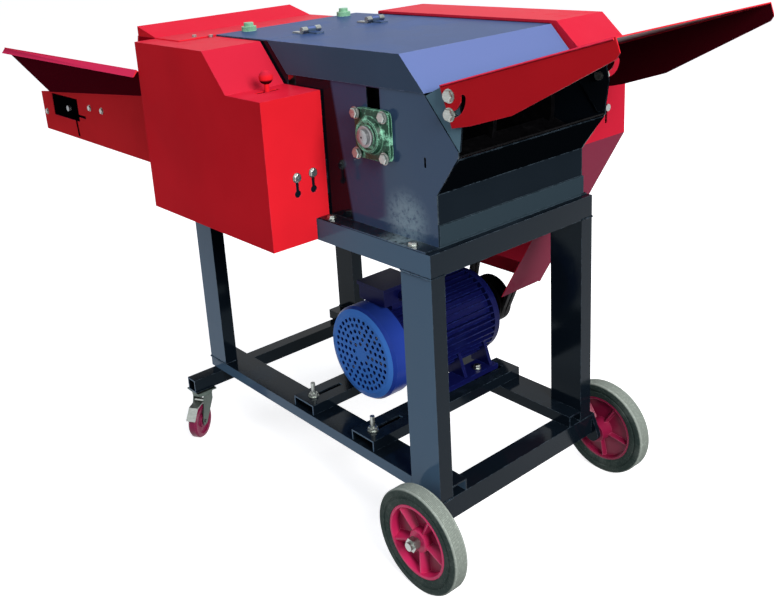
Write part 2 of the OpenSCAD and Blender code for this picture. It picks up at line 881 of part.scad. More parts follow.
module drive_belts() {
    lift = 0.4;
    mr = motor_pulley_d / 2 - groove_deep + lift;
    rr = rotor_pulley_d / 2 - groove_deep + lift;
    fr = feed_pulley_d / 2 - feed_groove_deep + lift;
    sr = small_pulley_d / 2 - feed_groove_deep + lift;
    fw = feed_groove_w / 2 - gap;
    color(DARK) {
        for (s = [-1, 1]) {
            slab(belt_y + s * belt_pitch / 2 - belt_w / 2, belt_y + s * belt_pitch / 2 + belt_w / 2)
                loop([rotor_x, rotor_z], rr, [motor_x, motor_z], mr, groove_deep);
        }
        slab(feed_belt_y - fw, feed_belt_y + fw)
            loop([feed_x, feed_z], fr, [rotor_x, rotor_z], sr, feed_groove_deep);
    }
}

// Discharge hood

module discharge_hood() {
    h = [cos(hood_tilt), sin(hood_tilt)];
    n = [-sin(hood_tilt), cos(hood_tilt)];
    a = [hood_x, hood_z];
    b = a + hood_l * h;
    color(STEEL) {
        for (y = [cheek_y, cheek_far]) {
            slab(y, y + cheek_t) difference() {
                polygon([a, b, b + tip_out * h - tip_drop * n, b - 8 * h - 36 * n,
                    a + 170 * h - 90 * n, a + 59 * h - 93 * n, a + 6 * h - 90 * n]);
                translate([piv_x, piv_z]) circle(r = pin_r + fit);
                translate([piv_x, piv_z]) ring_part(lock_r - pin_r - gap, lock_r + pin_r + gap, -90, 2);
                translate([piv_x, piv_z - lock_r]) circle(r = pin_r + gap);
                translate([piv_x + lock_r, piv_z]) circle(r = pin_r + gap);
            }
        }
        slab(cheek_y, cheek_far + cheek_t) strip(a, b, -cheek_t);
    }
}

// Trough and conveyor

module trough_floor() {
    color(RED) {
        block([trough_x0, trough_y0 + sheet, frame_top], [trough_x1, trough_y1 - sheet, frame_top + 3]);
        for (y = [[trough_y0 + sheet, plate_in], [far_in, trough_y1 - sheet]]) {
            block([trough_x1 - 2, y[0], frame_top + 2], [trough_x1 + 2, y[1], bend_z1 - 12]);
        }
    }
}

// One side with its flared wing.
module trough_side() {
    w0 = [bend_x0, bend_z0];
    w1 = [trough_x1, bend_z1];
    y0 = trough_y0;
    yl = trough_y0 - wing_out;
    t = sheet;
    color(RED) {
        difference() {
            slab(y0, y0 + t) polygon([[trough_x0, frame_top], [trough_x1, frame_top], w1, w0,
                [trough_x0 - end_lean, bend_z0 - 8]]);
            block([-962, y0 - 1, 850], [-740, y0 + t + 1, 930]);
            block([-741, y0 - 1, 866], [-685, y0 + t + 1, 876]);
        }
        polyhedron(
            points = [[w0[0], y0 + t, w0[1] - 1], [w1[0], y0 + t, w1[1] - 1], [w1[0], yl, lip_z1],
                [w0[0] + 4, yl, lip_z0], [w0[0], y0, w0[1] - 3], [w1[0], y0, w1[1] - 3],
                [w1[0], yl, lip_z1 - 3], [w0[0] + 4, yl, lip_z0 - 3]],
            faces = [[0, 1, 2], [0, 2, 3], [4, 6, 5], [4, 7, 6], [0, 5, 1], [0, 4, 5], [1, 6, 2],
                [1, 5, 6], [2, 7, 3], [2, 6, 7], [3, 4, 0], [3, 7, 4]]);
        slab(yl, yl + t) polygon([[w0[0] + 4, lip_z0 - 18], [w1[0], lip_z1 - 18], [w1[0], lip_z1],
            [w0[0] + 4, lip_z0]]);
    }
}

module trough_side_near() { trough_side(); }
module trough_side_far() {
    translate([0, 2 * mid_y, 0]) mirror([0, 1, 0]) trough_side();
}

module tail_blocks() {
    t = 8;
    color(DARK) for (y = [trough_y0 + sheet, trough_y1 - sheet - t]) {
        difference() {
            block([tail_x - 160, y, frame_top + 3], [tail_x + 84, y + t, bend_z0]);
            rod_y(tail_x, tail_z, y - 1, y + t + 1, conv_shaft_r + fit);
        }
    }
}

conv_y0 = plate_in + 15;
conv_y1 = far_in - 15;

module tail_roller() {
    color(METAL) {
        rod_y(tail_x, tail_z, conv_y0, conv_y1, tail_r);
        rod_y(tail_x, tail_z, trough_y0 - 8, trough_y1 + 8, conv_shaft_r);
    }
}

module head_roller() {
    color(METAL) {
        rod_y(head_x, head_z, conv_y0, conv_y1, conv_r);
        rod_y(head_x, head_z, box_y0 + 10, far_out + 6, conv_shaft_r);
    }
}

module conveyor_belt() {
    color(DARK) slab(conv_y0, conv_y1)
        loop([tail_x, tail_z], tail_r + gap, [head_x, head_z], conv_r + gap, belt_t);
}

// Feed rollers and their drive

module roller(x, z, y0, y1) {
    ribs = 10;
    core = roller_r - 8;
    color(METAL) {
        rod_y(x, z, y0, y1, core);
        for (i = [0 : ribs - 1]) {
            translate([x, y0, z]) rotate([0, i * 360 / ribs, 0]) translate([core - 3, 0, -3])
                cube([roller_r - core + 3, y1 - y0, 6]);
        }
    }
}

module lower_roller() {
    roller(roller_x, roller_z, plate_in + 8, far_in - 8);
    color(METAL) rod_y(roller_x, roller_z, box_y0 + 10, gear_y0 + gear_w + 2, roller_shaft_r);
}

module upper_roller() {
    roller(roller_x, upper_z, arm_y + arm_t + 3, arm_far - 3);
    color(METAL) rod_y(roller_x, upper_z, arm_y - 2, gear_y0 + gear_w + 2, roller_shaft_r);
}

// A coarse gear with slim teeth, one of them at the given angle.
module gear(x, z, turn) {
    pitch_r = gear_m * gear_z / 2;
    root_r = pitch_r - 1.25 * gear_m;
    tip_r = pitch_r + gear_m;
    w0 = 0.80 * gear_m;
    w1 = 0.36 * gear_m;
    color(METAL) difference() {
        slab(gear_y0, gear_y0 + gear_w) translate([x, z]) {
            circle(r = root_r);
            for (i = [0 : gear_z - 1]) {
                rotate(turn + i * 360 / gear_z)
                    polygon([[root_r - 3, -w0], [tip_r, -w1], [tip_r, w1], [root_r - 3, w0]]);
            }
        }
        rod_y(x, z, gear_y0 - 1, gear_y0 + gear_w + 1, roller_shaft_r + snug);
    }
}

module lower_gear() { gear(roller_x, roller_z, 90); }
module upper_gear() { gear(roller_x, upper_z, -90 + 180 / gear_z); }

module float_arms() {
    color(METAL) {
        for (y = [arm_y, arm_far]) {
            difference() {
                slab(y, y + arm_t) {
                    link([pivot_x, pivot_z], 22, [roller_x, upper_z], 28);
                    link([pivot_x, pivot_z], 22, [tail_bar_x, tail_bar_z], 16);
                }
                rod_y(pivot_x, pivot_z, y - 1, y + arm_t + 1, pivot_r + fit);
                rod_y(roller_x, upper_z, y - 1, y + arm_t + 1, roller_shaft_r + fit);
            }
        }
        rod_y(tail_bar_x, tail_bar_z, arm_y + 1, arm_far + arm_t - 1, tail_bar_r);
    }
}

module tension_screws() {
    spring_r = 13;
    color(GREEN) for (y = [screw_y1, screw_y2]) {
        rod_z(tail_bar_x, y, house_top, house_top + 12, 20);
        rod_z(tail_bar_x, y, house_top + 11, house_top + 22, 13);
        rod_z(tail_bar_x, y, top_z - 23, house_top + 1, 6);
        rod_z(tail_bar_x, y, tail_bar_z + tail_bar_r + gap, top_z - 3, spring_r);
    }
}

module gearbox() {
    color(GREEN) difference() {
        union() {
            block([box_x0, box_y0, box_z0], [box_x1, plate_y, box_z1]);
            for (x = [lever_x - 19, lever_x + 12]) {
                block([x, lever_y - 12, box_z1 - 1], [x + 7, lever_y + 12, lever_z + 14]);
            }
            rod_x(lever_y, lever_z, lever_x - 19, lever_x + 19, 6);
        }
        rod_y(roller_x, roller_z, box_y0 + 8, plate_y + 1, roller_shaft_r + fit);
        rod_y(head_x, head_z, box_y0 + 8, plate_y + 1, conv_shaft_r + fit);
        rod_y(feed_x, feed_z, box_y0 + 8, plate_y + 1, feed_shaft_d / 2 + fit);
        block([lever_x - 12 + gap, lever_y - 20, box_z1 - 6],
            [lever_x + 12 - gap, lever_y + 20, box_z1 + 1]);
    }
}

module feed_shaft() {
    fw = feed_pulley_w / 2;
    color(METAL) {
        rod_y(feed_x, feed_z, box_y0 + 10, feed_belt_y + fw + 6, feed_shaft_d / 2);
        difference() {
            rod_y(feed_x, feed_z, feed_belt_y - fw, feed_belt_y + fw, feed_pulley_d / 2);
            difference() {
                rod_y(feed_x, feed_z, feed_belt_y - feed_groove_w / 2, feed_belt_y + feed_groove_w / 2,
                    feed_pulley_d / 2 + 1);
                rod_y(feed_x, feed_z, feed_belt_y - fw, feed_belt_y + fw,
                    feed_pulley_d / 2 - feed_groove_deep);
            }
        }
    }
}

module shift_lever() {
    color(RED) {
        difference() {
            union() {
                rod_x(lever_y, lever_z, lever_x - 9, lever_x + 9, 12);
                rod_z(lever_x, lever_y, lever_z + 8, knob_z - 6, 6);
            }
            rod_x(lever_y, lever_z, lever_x - 10, lever_x + 10, 6 + fit);
        }
        translate([lever_x, lever_y, knob_z]) sphere(r = 17);
    }
}

// Covers

gear_side = [[house_x, cover_low], [cover_x1, cover_low], [cover_x1, cover_step], [462, cover_step + 1],
    [374, cover_top - 1], [house_x, cover_top]];
gear_hollow = [[house_x + sheet, cover_low + sheet], [cover_x1 - sheet, cover_low + sheet],
    [cover_x1 - sheet, cover_step - sheet], [461, cover_step + 1 - sheet],
    [373, cover_top - 1 - sheet], [house_x + sheet, cover_top - sheet]];

module gear_cover() {
    slot_y = 32;
    color(RED) difference() {
        slab(cover_y0, cover_y1) polygon(gear_side);
        slab(cover_y0 + sheet, cover_y1 + 1) polygon(gear_hollow);
        block([house_x - 1, -3, cover_low - 35], [cover_x1 + 1, cover_y1 + 1, frame_top + gap]);
        block([lever_x - 8, lever_y - slot_y, cover_step - 13],
            [lever_x + 8, lever_y + slot_y, cover_step + 7]);
        for (k = [[-50, 900], [-3, 902]]) {
            rod_x(k[0], k[1], cover_x1 - 5, cover_x1 + 1, 4 + gap);
            block([cover_x1 - 5, k[0] - 4 - gap, k[1] - 40], [cover_x1 + 1, k[0] + 4 + gap, k[1]]);
            rod_x(k[0], k[1] - 40, cover_x1 - 5, cover_x1 + 1, 9);
        }
    }
}

module feed_hood() {
    y0 = -72;
    y1 = 450;
    low = top_z;
    high = low + 29;
    tail = house_x - 95;
    fold = house_x + 4;
    color(RED) {
        slab(y0, y1) polygon([[tail, high], [tail, high - sheet], [fold, low], [top_x, low],
            [top_x, low + sheet], [fold + 1, low + sheet]]);
        slab(y0, y0 + sheet) polygon([[tail, high - 1], [tail, low + 1], [fold - 5, low + 1]]);
    }
}

guard_side = [[guard_x0, guard_shelf], [guard_left, guard_bot], [guard_right, guard_bot],
    [guard_x1, guard_knee], [guard_x1, guard_brow], [guard_ridge, guard_top], [guard_x0, guard_top]];

// Where the guard's two sloping walls stand at a height.
function guard_l(z) = guard_x0 + (guard_left - guard_x0) * (guard_shelf - z) / (guard_shelf - guard_bot);
function guard_r(z) = guard_right + (guard_x1 - guard_right) * (z - guard_bot) / (guard_knee - guard_bot);

// The walls follow the belts; the bottom is open.
module belt_guard() {
    t = sheet;
    low = frame_top + 4;
    foot = guard_bot + 127;
    color(RED) {
        difference() {
            slab(guard_y0, guard_y1) polygon(guard_side);
            slab(guard_y0 - 1, guard_y1 - t) offset(delta = -t) polygon(guard_side);
            block([guard_left - 60, guard_y0 - 1, guard_bot - 1],
                [guard_right + 60, guard_y1 - t, guard_bot + t + 2]);
            block([0, guard_y0 - 1, guard_bot - 20], [guard_x1 + 90, guard_low, low]);
            rod_x(knob_y, knob_z2, guard_x1 - 8, guard_x1 + 2, 4 + gap);
            block([guard_x1 - 8, knob_y - 4 - gap, knob_z2 - 40],
                [guard_x1 + 2, knob_y + 4 + gap, knob_z2]);
        }
        slab(guard_low, guard_low + t) polygon([[guard_l(foot) + t / 2, foot],
            [guard_r(foot) - t / 2, foot], [guard_r(low - 16) - t / 2, low - 16],
            [guard_x0 + t / 2, low - 16], [guard_x0 + t / 2, guard_shelf]]);
        slab(guard_y0, guard_y0 + t) polygon([[guard_x0, house_top + 1], [guard_ridge - 9, house_top + 1],
            [guard_x1 - 24, guard_brow + 14], [guard_x1 - 16, guard_brow + 14],
            [guard_ridge, guard_top], [guard_x0, guard_top]]);
    }
}

// Fasteners

module bolts_and_pins() {
    head = 8;
    color(METAL) {
        for (sx = [-1, 1]) {
            for (sz = [-1, 1]) {
                hex_y(rotor_x + sx * bolt_sq, rotor_z + sz * bolt_sq, plate_y - 14 - head, plate_y - 14, 11);
                hex_y(rotor_x + sx * bolt_sq, rotor_z + sz * bolt_sq, far_out + 14, far_out + 14 + head, 11);
            }
        }
        hood_pins();
        translate([0, 2 * mid_y, 0]) mirror([0, 1, 0]) hood_pins();
        float_pin();
        translate([0, 2 * mid_y, 0]) mirror([0, 1, 0]) float_pin();
        for (k = [[-50, 900], [-3, 902]]) {
            rod_x(k[0], k[1], cover_x1 - sheet - 8, cover_x1 + 1, 4);
            rod_x(k[0], k[1], cover_x1 + 0.2, cover_x1 + 6, 9);
        }
        rod_x(knob_y, knob_z2, guard_x1 - 12, guard_x1 + 1, 4);
        rod_x(knob_y, knob_z2, guard_x1 + 0.2, guard_x1 + 6, 9);
        for (y = [mid_y - 108, mid_y + 108]) {
            for (s = [-1, 1]) {
                translate([0, y + s * 21, 0]) {
                    rod_y(hinge_x, hinge_z, -8, 8, 8);
                    block([hinge_x - 40, -8, house_top], [hinge_x, 8, house_top + 4]);
                    block([hinge_x - 7, -8, house_top + 3], [hinge_x - 2, 8, hinge_z]);
                }
            }
            rod_y(hinge_x, hinge_z, y - 30, y + 30, 4);
        }
        for (x = [motor_x - foot_x, motor_x + foot_x]) {
            for (y = [foot_y0 + 45, foot_y1 - 60]) {
                rod_z(x + (x < motor_x ? -8 : 8), y, rail_top + mrail_h + 14, rail_top + mrail_h + 24, 9);
            }
        }
        for (x = [mrail_x1 + mrail_w / 2, mrail_x2 + mrail_w / 2]) {
            rod_z(x, 40, rail_top + mrail_h, rail_top + mrail_h + 10, 11);
            rod_z(x, 40, rail_top + mrail_h + 9, rail_top + mrail_h + 40, 6);
        }
        for (p = [[top_x - 22, -12, top_z + sheet], [top_x + 9, 20, cover_top]]) {
            rod_z(p[0], p[1], p[2], p[2] + 6, 6);
        }
        for (x = [cover_x1 + 34, front_x - 53]) {
            rod_z(x, plate_y - 25, frame_top + 3, frame_top + 10, 9);
        }
        for (p = [[-1025, 855], [-639, 911], [-545, 912]]) {
            hex_y(p[0], p[1], trough_y0 - 6, trough_y0, 9);
        }
    }
}

// Pivot and lock bolts of one side of the hood.
module hood_pins() {
    for (z = [piv_z, piv_z - lock_r]) {
        rod_y(piv_x, z, cheek_y - 1, plate_in + 4 + 8, pin_r);
        rod_y(piv_x, z, cheek_y - 9, cheek_y - gap, 11);
        rod_y(piv_x, z, cheek_y + cheek_t + gap, plate_in, 10);
        rod_y(piv_x, z, plate_in + 4, plate_in + 12, 10);
    }
}

// Pin that carries one float arm.
module float_pin() {
    rod_y(pivot_x, pivot_z, plate_y - 1, arm_y + arm_t + 2, pivot_r);
    rod_y(pivot_x, pivot_z, plate_y - 6, plate_y, 13);
}

// Everything is moved so that the origin is under the middle.
module placed() {
    translate([-shift_x, -mid_y, 0]) children();
}

placed() feed_legs();
placed() discharge_legs();
placed() top_frame();
placed() lower_rails();
placed() feed_cross_tube();
placed() axle_beam();
placed() motor_rails();
placed() wheel_axles();
placed() hub_near();
placed() tyre_near();
placed() hub_far();
placed() tyre_far();
placed() caster_plates();
placed() caster_fork_near();
placed() caster_fork_far();
placed() caster_wheel_near();
placed() caster_wheel_far();
placed() brake_pedal_near();
placed() brake_pedal_far();
placed() motor_body();
placed() motor_cowl();
placed() motor_end_bell();
placed() terminal_box();
placed() motor_shaft();
placed() motor_pulley();
placed() side_plate_near();
placed() side_plate_far();
placed() rotor_cover();
placed() feed_top_plate();
placed() drum_shell();
placed() front_panel();
placed() mouth_flange();
placed() counter_knife();
placed() rotor_shaft();
placed() rotor_discs();
placed() rotor_blades();
placed() rotor_pulley();
placed() main_bearings();
placed() drive_belts();
placed() discharge_hood();
placed() trough_floor();
placed() trough_side_near();
placed() trough_side_far();
placed() tail_blocks();
placed() tail_roller();
placed() head_roller();
placed() conveyor_belt();
placed() lower_roller();
placed() upper_roller();
placed() lower_gear();
placed() upper_gear();
placed() float_arms();
placed() feed_hood();
placed() tension_screws();
placed() gear_cover();
placed() gearbox();
placed() feed_shaft();
placed() shift_lever();
placed() belt_guard();
placed() bolts_and_pins();
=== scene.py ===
# %% [markdown]
# A motor-driven chaff cutter on a wheeled frame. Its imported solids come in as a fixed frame: every
# one of them already stands where it belongs, in metres. The lesson dresses them with finishes and
# adds the small pieces that make sheet metal, castings and rubber look like what they are.

# %% Load the solids and keep their box
import json
import math

import bmesh
import bpy
from mathutils import Matrix, Vector


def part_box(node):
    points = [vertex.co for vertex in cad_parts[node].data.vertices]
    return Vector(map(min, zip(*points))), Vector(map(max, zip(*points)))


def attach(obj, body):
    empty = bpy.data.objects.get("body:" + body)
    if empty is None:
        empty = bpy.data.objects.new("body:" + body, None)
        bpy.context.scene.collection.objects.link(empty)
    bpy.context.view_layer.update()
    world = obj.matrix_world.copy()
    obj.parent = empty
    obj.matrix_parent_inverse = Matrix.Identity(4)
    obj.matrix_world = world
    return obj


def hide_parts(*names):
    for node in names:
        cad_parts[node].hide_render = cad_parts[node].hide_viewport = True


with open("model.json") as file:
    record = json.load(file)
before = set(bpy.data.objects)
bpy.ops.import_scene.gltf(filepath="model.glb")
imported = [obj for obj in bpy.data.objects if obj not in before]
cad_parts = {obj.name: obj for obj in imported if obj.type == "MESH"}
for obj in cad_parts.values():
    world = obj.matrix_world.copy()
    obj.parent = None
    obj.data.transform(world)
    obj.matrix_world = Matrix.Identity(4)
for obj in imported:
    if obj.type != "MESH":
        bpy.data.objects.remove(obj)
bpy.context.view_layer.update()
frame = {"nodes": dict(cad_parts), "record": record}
nodes = frame["nodes"]

# %% [markdown]
# The photograph was taken a little above the machine, from the discharge end. The camera's place,
# heading and roll come from a fit of the machine's known edges, and the lens shift only puts the
# machine where the photograph frames it.

# %% Camera
PHOTO_W, PHOTO_H = 774, 614
CAM_PLACE = (2.1433, -1.5408, 1.4887)
CAM_HEADING, CAM_DOWN, CAM_ROLL = 52.38, 16.87, -4.17
SENSOR_MM, LENS_MM = 36.0, 43.43
AIM_X, AIM_Y = 338.4, 194.3
NEAREST, FURTHEST = 0.05, 80.0

cam_data = bpy.data.cameras.new("photo_camera")
cam_data.sensor_width = SENSOR_MM
cam_data.sensor_fit = "HORIZONTAL"
cam_data.lens = LENS_MM
cam_data.shift_x = (PHOTO_W / 2 - AIM_X) / PHOTO_W
cam_data.shift_y = (AIM_Y - PHOTO_H / 2) / PHOTO_W
cam_data.clip_start = NEAREST
cam_data.clip_end = FURTHEST
camera = bpy.data.objects.new("photo_camera", cam_data)
turn = Matrix.Rotation(math.radians(CAM_HEADING), 4, "Z")
turn = turn @ Matrix.Rotation(math.radians(90 - CAM_DOWN), 4, "X")
turn = turn @ Matrix.Rotation(math.radians(CAM_ROLL), 4, "Z")
camera.matrix_world = Matrix.Translation(CAM_PLACE) @ turn
bpy.context.collection.objects.link(camera)
bpy.context.scene.camera = camera
print("camera at", CAM_PLACE)

# %% [markdown]
# A finish is a small tree of shader nodes. It could be wired by hand in the shader editor, but this
# class keeps every tree short: it adds a node and sets or links its inputs, reads the piece's own
# coordinates, makes noise, and mixes two colours by a mask.


# %% A finish under construction
def srgb(r, g, b):
    """A colour as the eye reads it, 0 to 255, turned into the linear values that shaders use."""
    def lin(c):
        c = c / 255
        return c / 12.92 if c <= 0.04045 else ((c + 0.055) / 1.055) ** 2.4
    return (lin(r), lin(g), lin(b), 1.0)


def darker(colour, k):
    return tuple(c * k for c in colour[:3]) + (1.0,)


class Finish:
    """A material under construction."""

    def __init__(self, name):
        self.mat = bpy.data.materials.new(name)
        self.mat.use_nodes = True
        self.tree = self.mat.node_tree
        self.shader = self.tree.nodes["Principled BSDF"]
        self.coords = self.tree.nodes.new("ShaderNodeTexCoord").outputs["Object"]

    def add(self, kind, operation=None, **inputs):
        node = self.tree.nodes.new(kind)
        if operation:
            node.operation = operation
        for key, value in inputs.items():
            self.put(node.inputs[key.replace("_", " ")], value)
        return node

    def put(self, socket, value):
        if isinstance(value, bpy.types.NodeSocket):
            self.tree.links.new(value, socket)
        else:
            socket.default_value = value

    def shade(self, **inputs):
        for key, value in inputs.items():
            self.put(self.shader.inputs[key.replace("_", " ")], value)

    def noise(self, scale, detail=4.0, rough=0.55, stretch=None):
        where = self.coords
        if stretch:
            where = self.add("ShaderNodeMapping", Vector=where, Scale=stretch).outputs["Vector"]
        node = self.add("ShaderNodeTexNoise", Vector=where, Scale=scale, Detail=detail, Roughness=rough)
        return node.outputs["Fac"]

    def window(self, value, low, high, to_low=0.0, to_high=1.0):
        node = self.add("ShaderNodeMapRange")
        node.interpolation_type = "SMOOTHSTEP"
        for socket, v in zip(node.inputs[:5], (value, low, high, to_low, to_high)):
            self.put(socket, v)
        return node.outputs["Result"]

    def reckon(self, kind, *values, clamp=True):
        """A sum of two or three values, held between nought and one unless clamp is off."""
        node = self.add("ShaderNodeMath", kind)
        node.use_clamp = clamp
        for socket, value in zip(node.inputs, values):
            self.put(socket, value)
        return node.outputs[0]

    def compare(self, kind, *vectors):
        """A number from one or two vectors, such as a length or a dot product."""
        node = self.add("ShaderNodeVectorMath", kind)
        for socket, value in zip(node.inputs, vectors):
            self.put(socket, value)
        return node.outputs["Value"]

    def axis(self, letter, vector=None):
        """One axis of a vector, or of the piece's own coordinates."""
        source = self.coords if vector is None else vector
        return self.add("ShaderNodeSeparateXYZ", Vector=source).outputs[letter]

    def normal(self):
        return self.add("ShaderNodeNewGeometry").outputs["Normal"]

    def mix(self, mask, a, b):
        node = self.tree.nodes.new("ShaderNodeMix")
        node.data_type = "RGBA"
        self.put(node.inputs["Factor"], mask)
        self.put(node.inputs["A"], a)
        self.put(node.inputs["B"], b)
        return node.outputs["Result"]

    def bump(self, height, strength, distance):
        node = self.add("ShaderNodeBump", Height=height, Strength=strength, Distance=distance)
        self.shade(Normal=node.outputs["Normal"])


print("finishes can be built")

# %% [markdown]
# Masks by the way a face looks. Dust settles on what looks up, and the same mask paints light on
# slopes and tops. What looks down and what looks to the machine's middle are painted darker as shade,
# and the outer faces of the near side are painted lighter as light. Each mask compares the face's own
# direction with one way, so no piece needs to be painted by hand.

# %% Masks by the way a face looks
OUTER_START, OUTER_FULL = -0.02, -0.12
MIDDLE_START, MIDDLE_FULL = -0.02, -0.10


def looking(f, way, low, high):
    return f.window(f.compare("DOT_PRODUCT", f.normal(), way), low, high)


def upward(f, low=0.6, high=0.95):
    return looking(f, (0.0, 0.0, 1.0), low, high)


# Faces that look down, where painted shade goes.
def downward(f):
    return looking(f, (0.0, 0.0, -1.0), 0.2, 0.5)


# Outer faces of the near side, where painted light goes.
def nearward(f):
    outer = f.window(f.axis("Y"), OUTER_START, OUTER_FULL)
    return f.reckon("MULTIPLY", outer, looking(f, (0.0, -1.0, 0.0), 0.6, 0.95))


# Faces that look to the machine's middle, where painted shade goes.
def to_middle(f):
    across = f.reckon("MULTIPLY", f.axis("Y", f.normal()), f.axis("Y"), clamp=False)
    return f.window(across, MIDDLE_START, MIDDLE_FULL)


print("masks by direction: up, down, near, to the middle")

# %% [markdown]
# Other masks go by place: edges are rubbed thin, a tread is dusty and its sidewall isn't, a hub is
# painted darker as shade in its recess, and a slanting line bounds a painted shadow. The Bevel node
# finds edges, because its rounded normal differs from the true one there. The rest measure the piece's
# own coordinates.


# %% Masks by place
def worn_edges(f, width, low=0.985, high=0.90):
    soft = f.add("ShaderNodeBevel", Radius=width)
    soft.samples = 4
    return f.window(f.compare("DOT_PRODUCT", f.normal(), soft.outputs["Normal"]), low, high)


def far_from(f, place, axes, low, high):
    """A mask by the distance from a place, measured along the axes that are 1."""
    spot = f.add("ShaderNodeMapping", Vector=f.coords, Location=tuple(-c for c in place))
    flat = f.add("ShaderNodeMapping", Vector=spot.outputs["Vector"], Scale=axes)
    return f.window(f.compare("LENGTH", flat.outputs["Vector"]), low, high)


def from_axle(f, axle, low, high):
    return far_from(f, axle, (1.0, 0.0, 1.0), low, high)


def from_middle(f, middle, low, high):
    return far_from(f, (0.0, middle, 0.0), (0.0, 1.0, 0.0), low, high)


# The slanting edge of the painted shadow strip beside the gear cover.
def beyond(f, x, z, slope, soft):
    """What lies further along X than a slanting line through a point."""
    line = f.reckon("MULTIPLY_ADD", f.axis("Z"), slope, f.axis("X"), clamp=False)
    edge = x + slope * z
    return f.window(line, edge - soft, edge + soft)


print("masks by place: edges, axle, middle, slanting line")

# %% [markdown]
# The sheet metal and the frame are sprayed with paint. Real sprayed paint isn't one colour: it
# drifts a little over a panel, has the fine ripple that painters call orange peel, carries dust on
# its upper faces and is rubbed thin along its edges. Noise on the piece's own coordinates gives all
# four. The shine is kept low, because a strong coat would turn a dark paint grey on a white floor.

# %% Sprayed paint
DRIFT, SMEAR, SPECKS, RUBBING, PEEL = (2.6, 3.0), (7.0, 5.0, 0.65), (240.0, 2.0), (60.0, 3.0), (420.0, 2.0)
EDGE_WIDE, EDGE_AMOUNT = 0.0022, 0.55
PEEL_STRENGTH, PEEL_DEEP = 0.05, 0.0006
CHALK_REACH, CHALK_HEART, CHALK_AMOUNT, CHALK_GRAINS = 0.085, 0.018, 0.44, (70.0, 6.0, 0.7)
CHALK_WHITE = srgb(176, 206, 214)
BAND_SOFT = 0.001
SATIN, GLOSSY = (0.32, 0.46), (0.10, 0.20)
PLAIN, COOL = (1.0, 1.0, 1.0, 1.0), (0.62, 0.86, 1.0, 1.0)


def sprayed_paint(name, colour, shine, worn, dust, dust_amount, rough=SATIN, tint=PLAIN, sheen=None,
                  crown=None, inside=None, under=None, foot=None, near=None, sheltered=None, chalk=None):
    """Paint, with optional painted light on slopes, tops and near faces, painted shade on inner faces and
    undersides, a painted shadow strip, a band below a height and chalk.
    """
    f = Finish(name)
    base = f.mix(f.window(f.noise(*DRIFT), 0.3, 0.7), darker(colour, 0.90), darker(colour, 1.06))
    smear = f.window(f.noise(*SMEAR), 0.48, 0.72)
    # Painted light: a tone for slopes and one for tops, lighter or darker for the light they get.
    if sheen:
        base = f.mix(upward(f, 0.12, 0.62), base, sheen)
    if crown:
        base = f.mix(upward(f, 0.80, 0.97), base, crown)
    # Painted shade on inner faces and on faces that look down.
    if inside:
        base = f.mix(f.reckon("MAXIMUM", to_middle(f), downward(f)), base, inside)
    if under:
        base = f.mix(downward(f), base, under)
    if foot:
        band, top = foot
        base = f.mix(f.window(f.axis("Z"), top + BAND_SOFT, top - BAND_SOFT), base, band)
    # Painted light on the outer near faces, less the strip where a shadow is painted.
    if near:
        bleached = nearward(f)
        if sheltered:
            bleached = f.reckon("MULTIPLY", bleached, beyond(f, *sheltered))
        base = f.mix(bleached, base, near)
    if chalk:
        grains = f.window(f.noise(*CHALK_GRAINS), 0.30, 0.56)
        cloud = f.reckon("MULTIPLY", from_axle(f, chalk, CHALK_REACH, CHALK_HEART), grains)
        base = f.mix(f.reckon("MULTIPLY", cloud, CHALK_AMOUNT), base, CHALK_WHITE)
    dusty = f.reckon("MULTIPLY", smear, dust_amount)
    base = f.mix(f.reckon("MULTIPLY", upward(f), dusty), base, dust)
    base = f.mix(f.reckon("MULTIPLY", f.window(f.noise(*SPECKS), 0.70, 0.78), dusty), base, dust)
    rub = f.reckon("MULTIPLY", worn_edges(f, EDGE_WIDE), f.window(f.noise(*RUBBING), 0.40, 0.62))
    base = f.mix(f.reckon("MULTIPLY", rub, EDGE_AMOUNT), base, worn)
    f.shade(Base_Color=base, Specular_IOR_Level=shine, Specular_Tint=tint)
    f.shade(Roughness=f.window(smear, 0.0, 1.0, *rough))
    f.bump(f.noise(*PEEL), PEEL_STRENGTH, PEEL_DEEP)
    return f.mat


print("paint can be mixed")

# %% [markdown]
# The frame, the housing and its panels are dark steel blue. Their outer near faces are painted lighter
# as light, except for a slanting strip of the side plate where the gear cover's shadow is painted, and
# straw has scoured one place on that plate to a chalky grey. The cover is slate, with a paler painted
# sky reflection on its slope and a darker painted tone on its top.

# %% Dark and slate paints
DARK_STEEL, BLEACHED_STEEL, BLEACHED_PLATE = srgb(14, 22, 30), srgb(82, 110, 134), srgb(58, 80, 110)
PALE_EDGE, STEEL_DUST, PANEL_DUST = srgb(92, 110, 124), srgb(84, 104, 122), srgb(70, 84, 92)
BAND_TOP = 0.8385
# The slanting strip of painted shadow that the gear cover throws on the side plate.
SHELTER_WIDE, SHELTER_TOP, SHELTER_SLOPE, SHELTER_SOFT = 0.026, 1.18, 0.16, 0.006
plate_lo, cover_end = Vector(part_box("side_plate_near")[0]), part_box("gear_cover")[1][0]
chalk_at = plate_lo + Vector((0.850, 0.0, 0.045))
# Outer near faces painted lighter as light; on the side plate, a painted shadow beside the gear cover.
charcoal = sprayed_paint("charcoal_paint", DARK_STEEL, 0.09, PALE_EDGE, STEEL_DUST, 0.10, GLOSSY, COOL,
                         near=BLEACHED_STEEL)
plate_paint = sprayed_paint("side_plate_paint", DARK_STEEL, 0.22, PALE_EDGE, STEEL_DUST, 0.14, GLOSSY, COOL,
                            near=BLEACHED_PLATE, chalk=chalk_at,
                            sheltered=(cover_end + SHELTER_WIDE, SHELTER_TOP, SHELTER_SLOPE, SHELTER_SOFT))
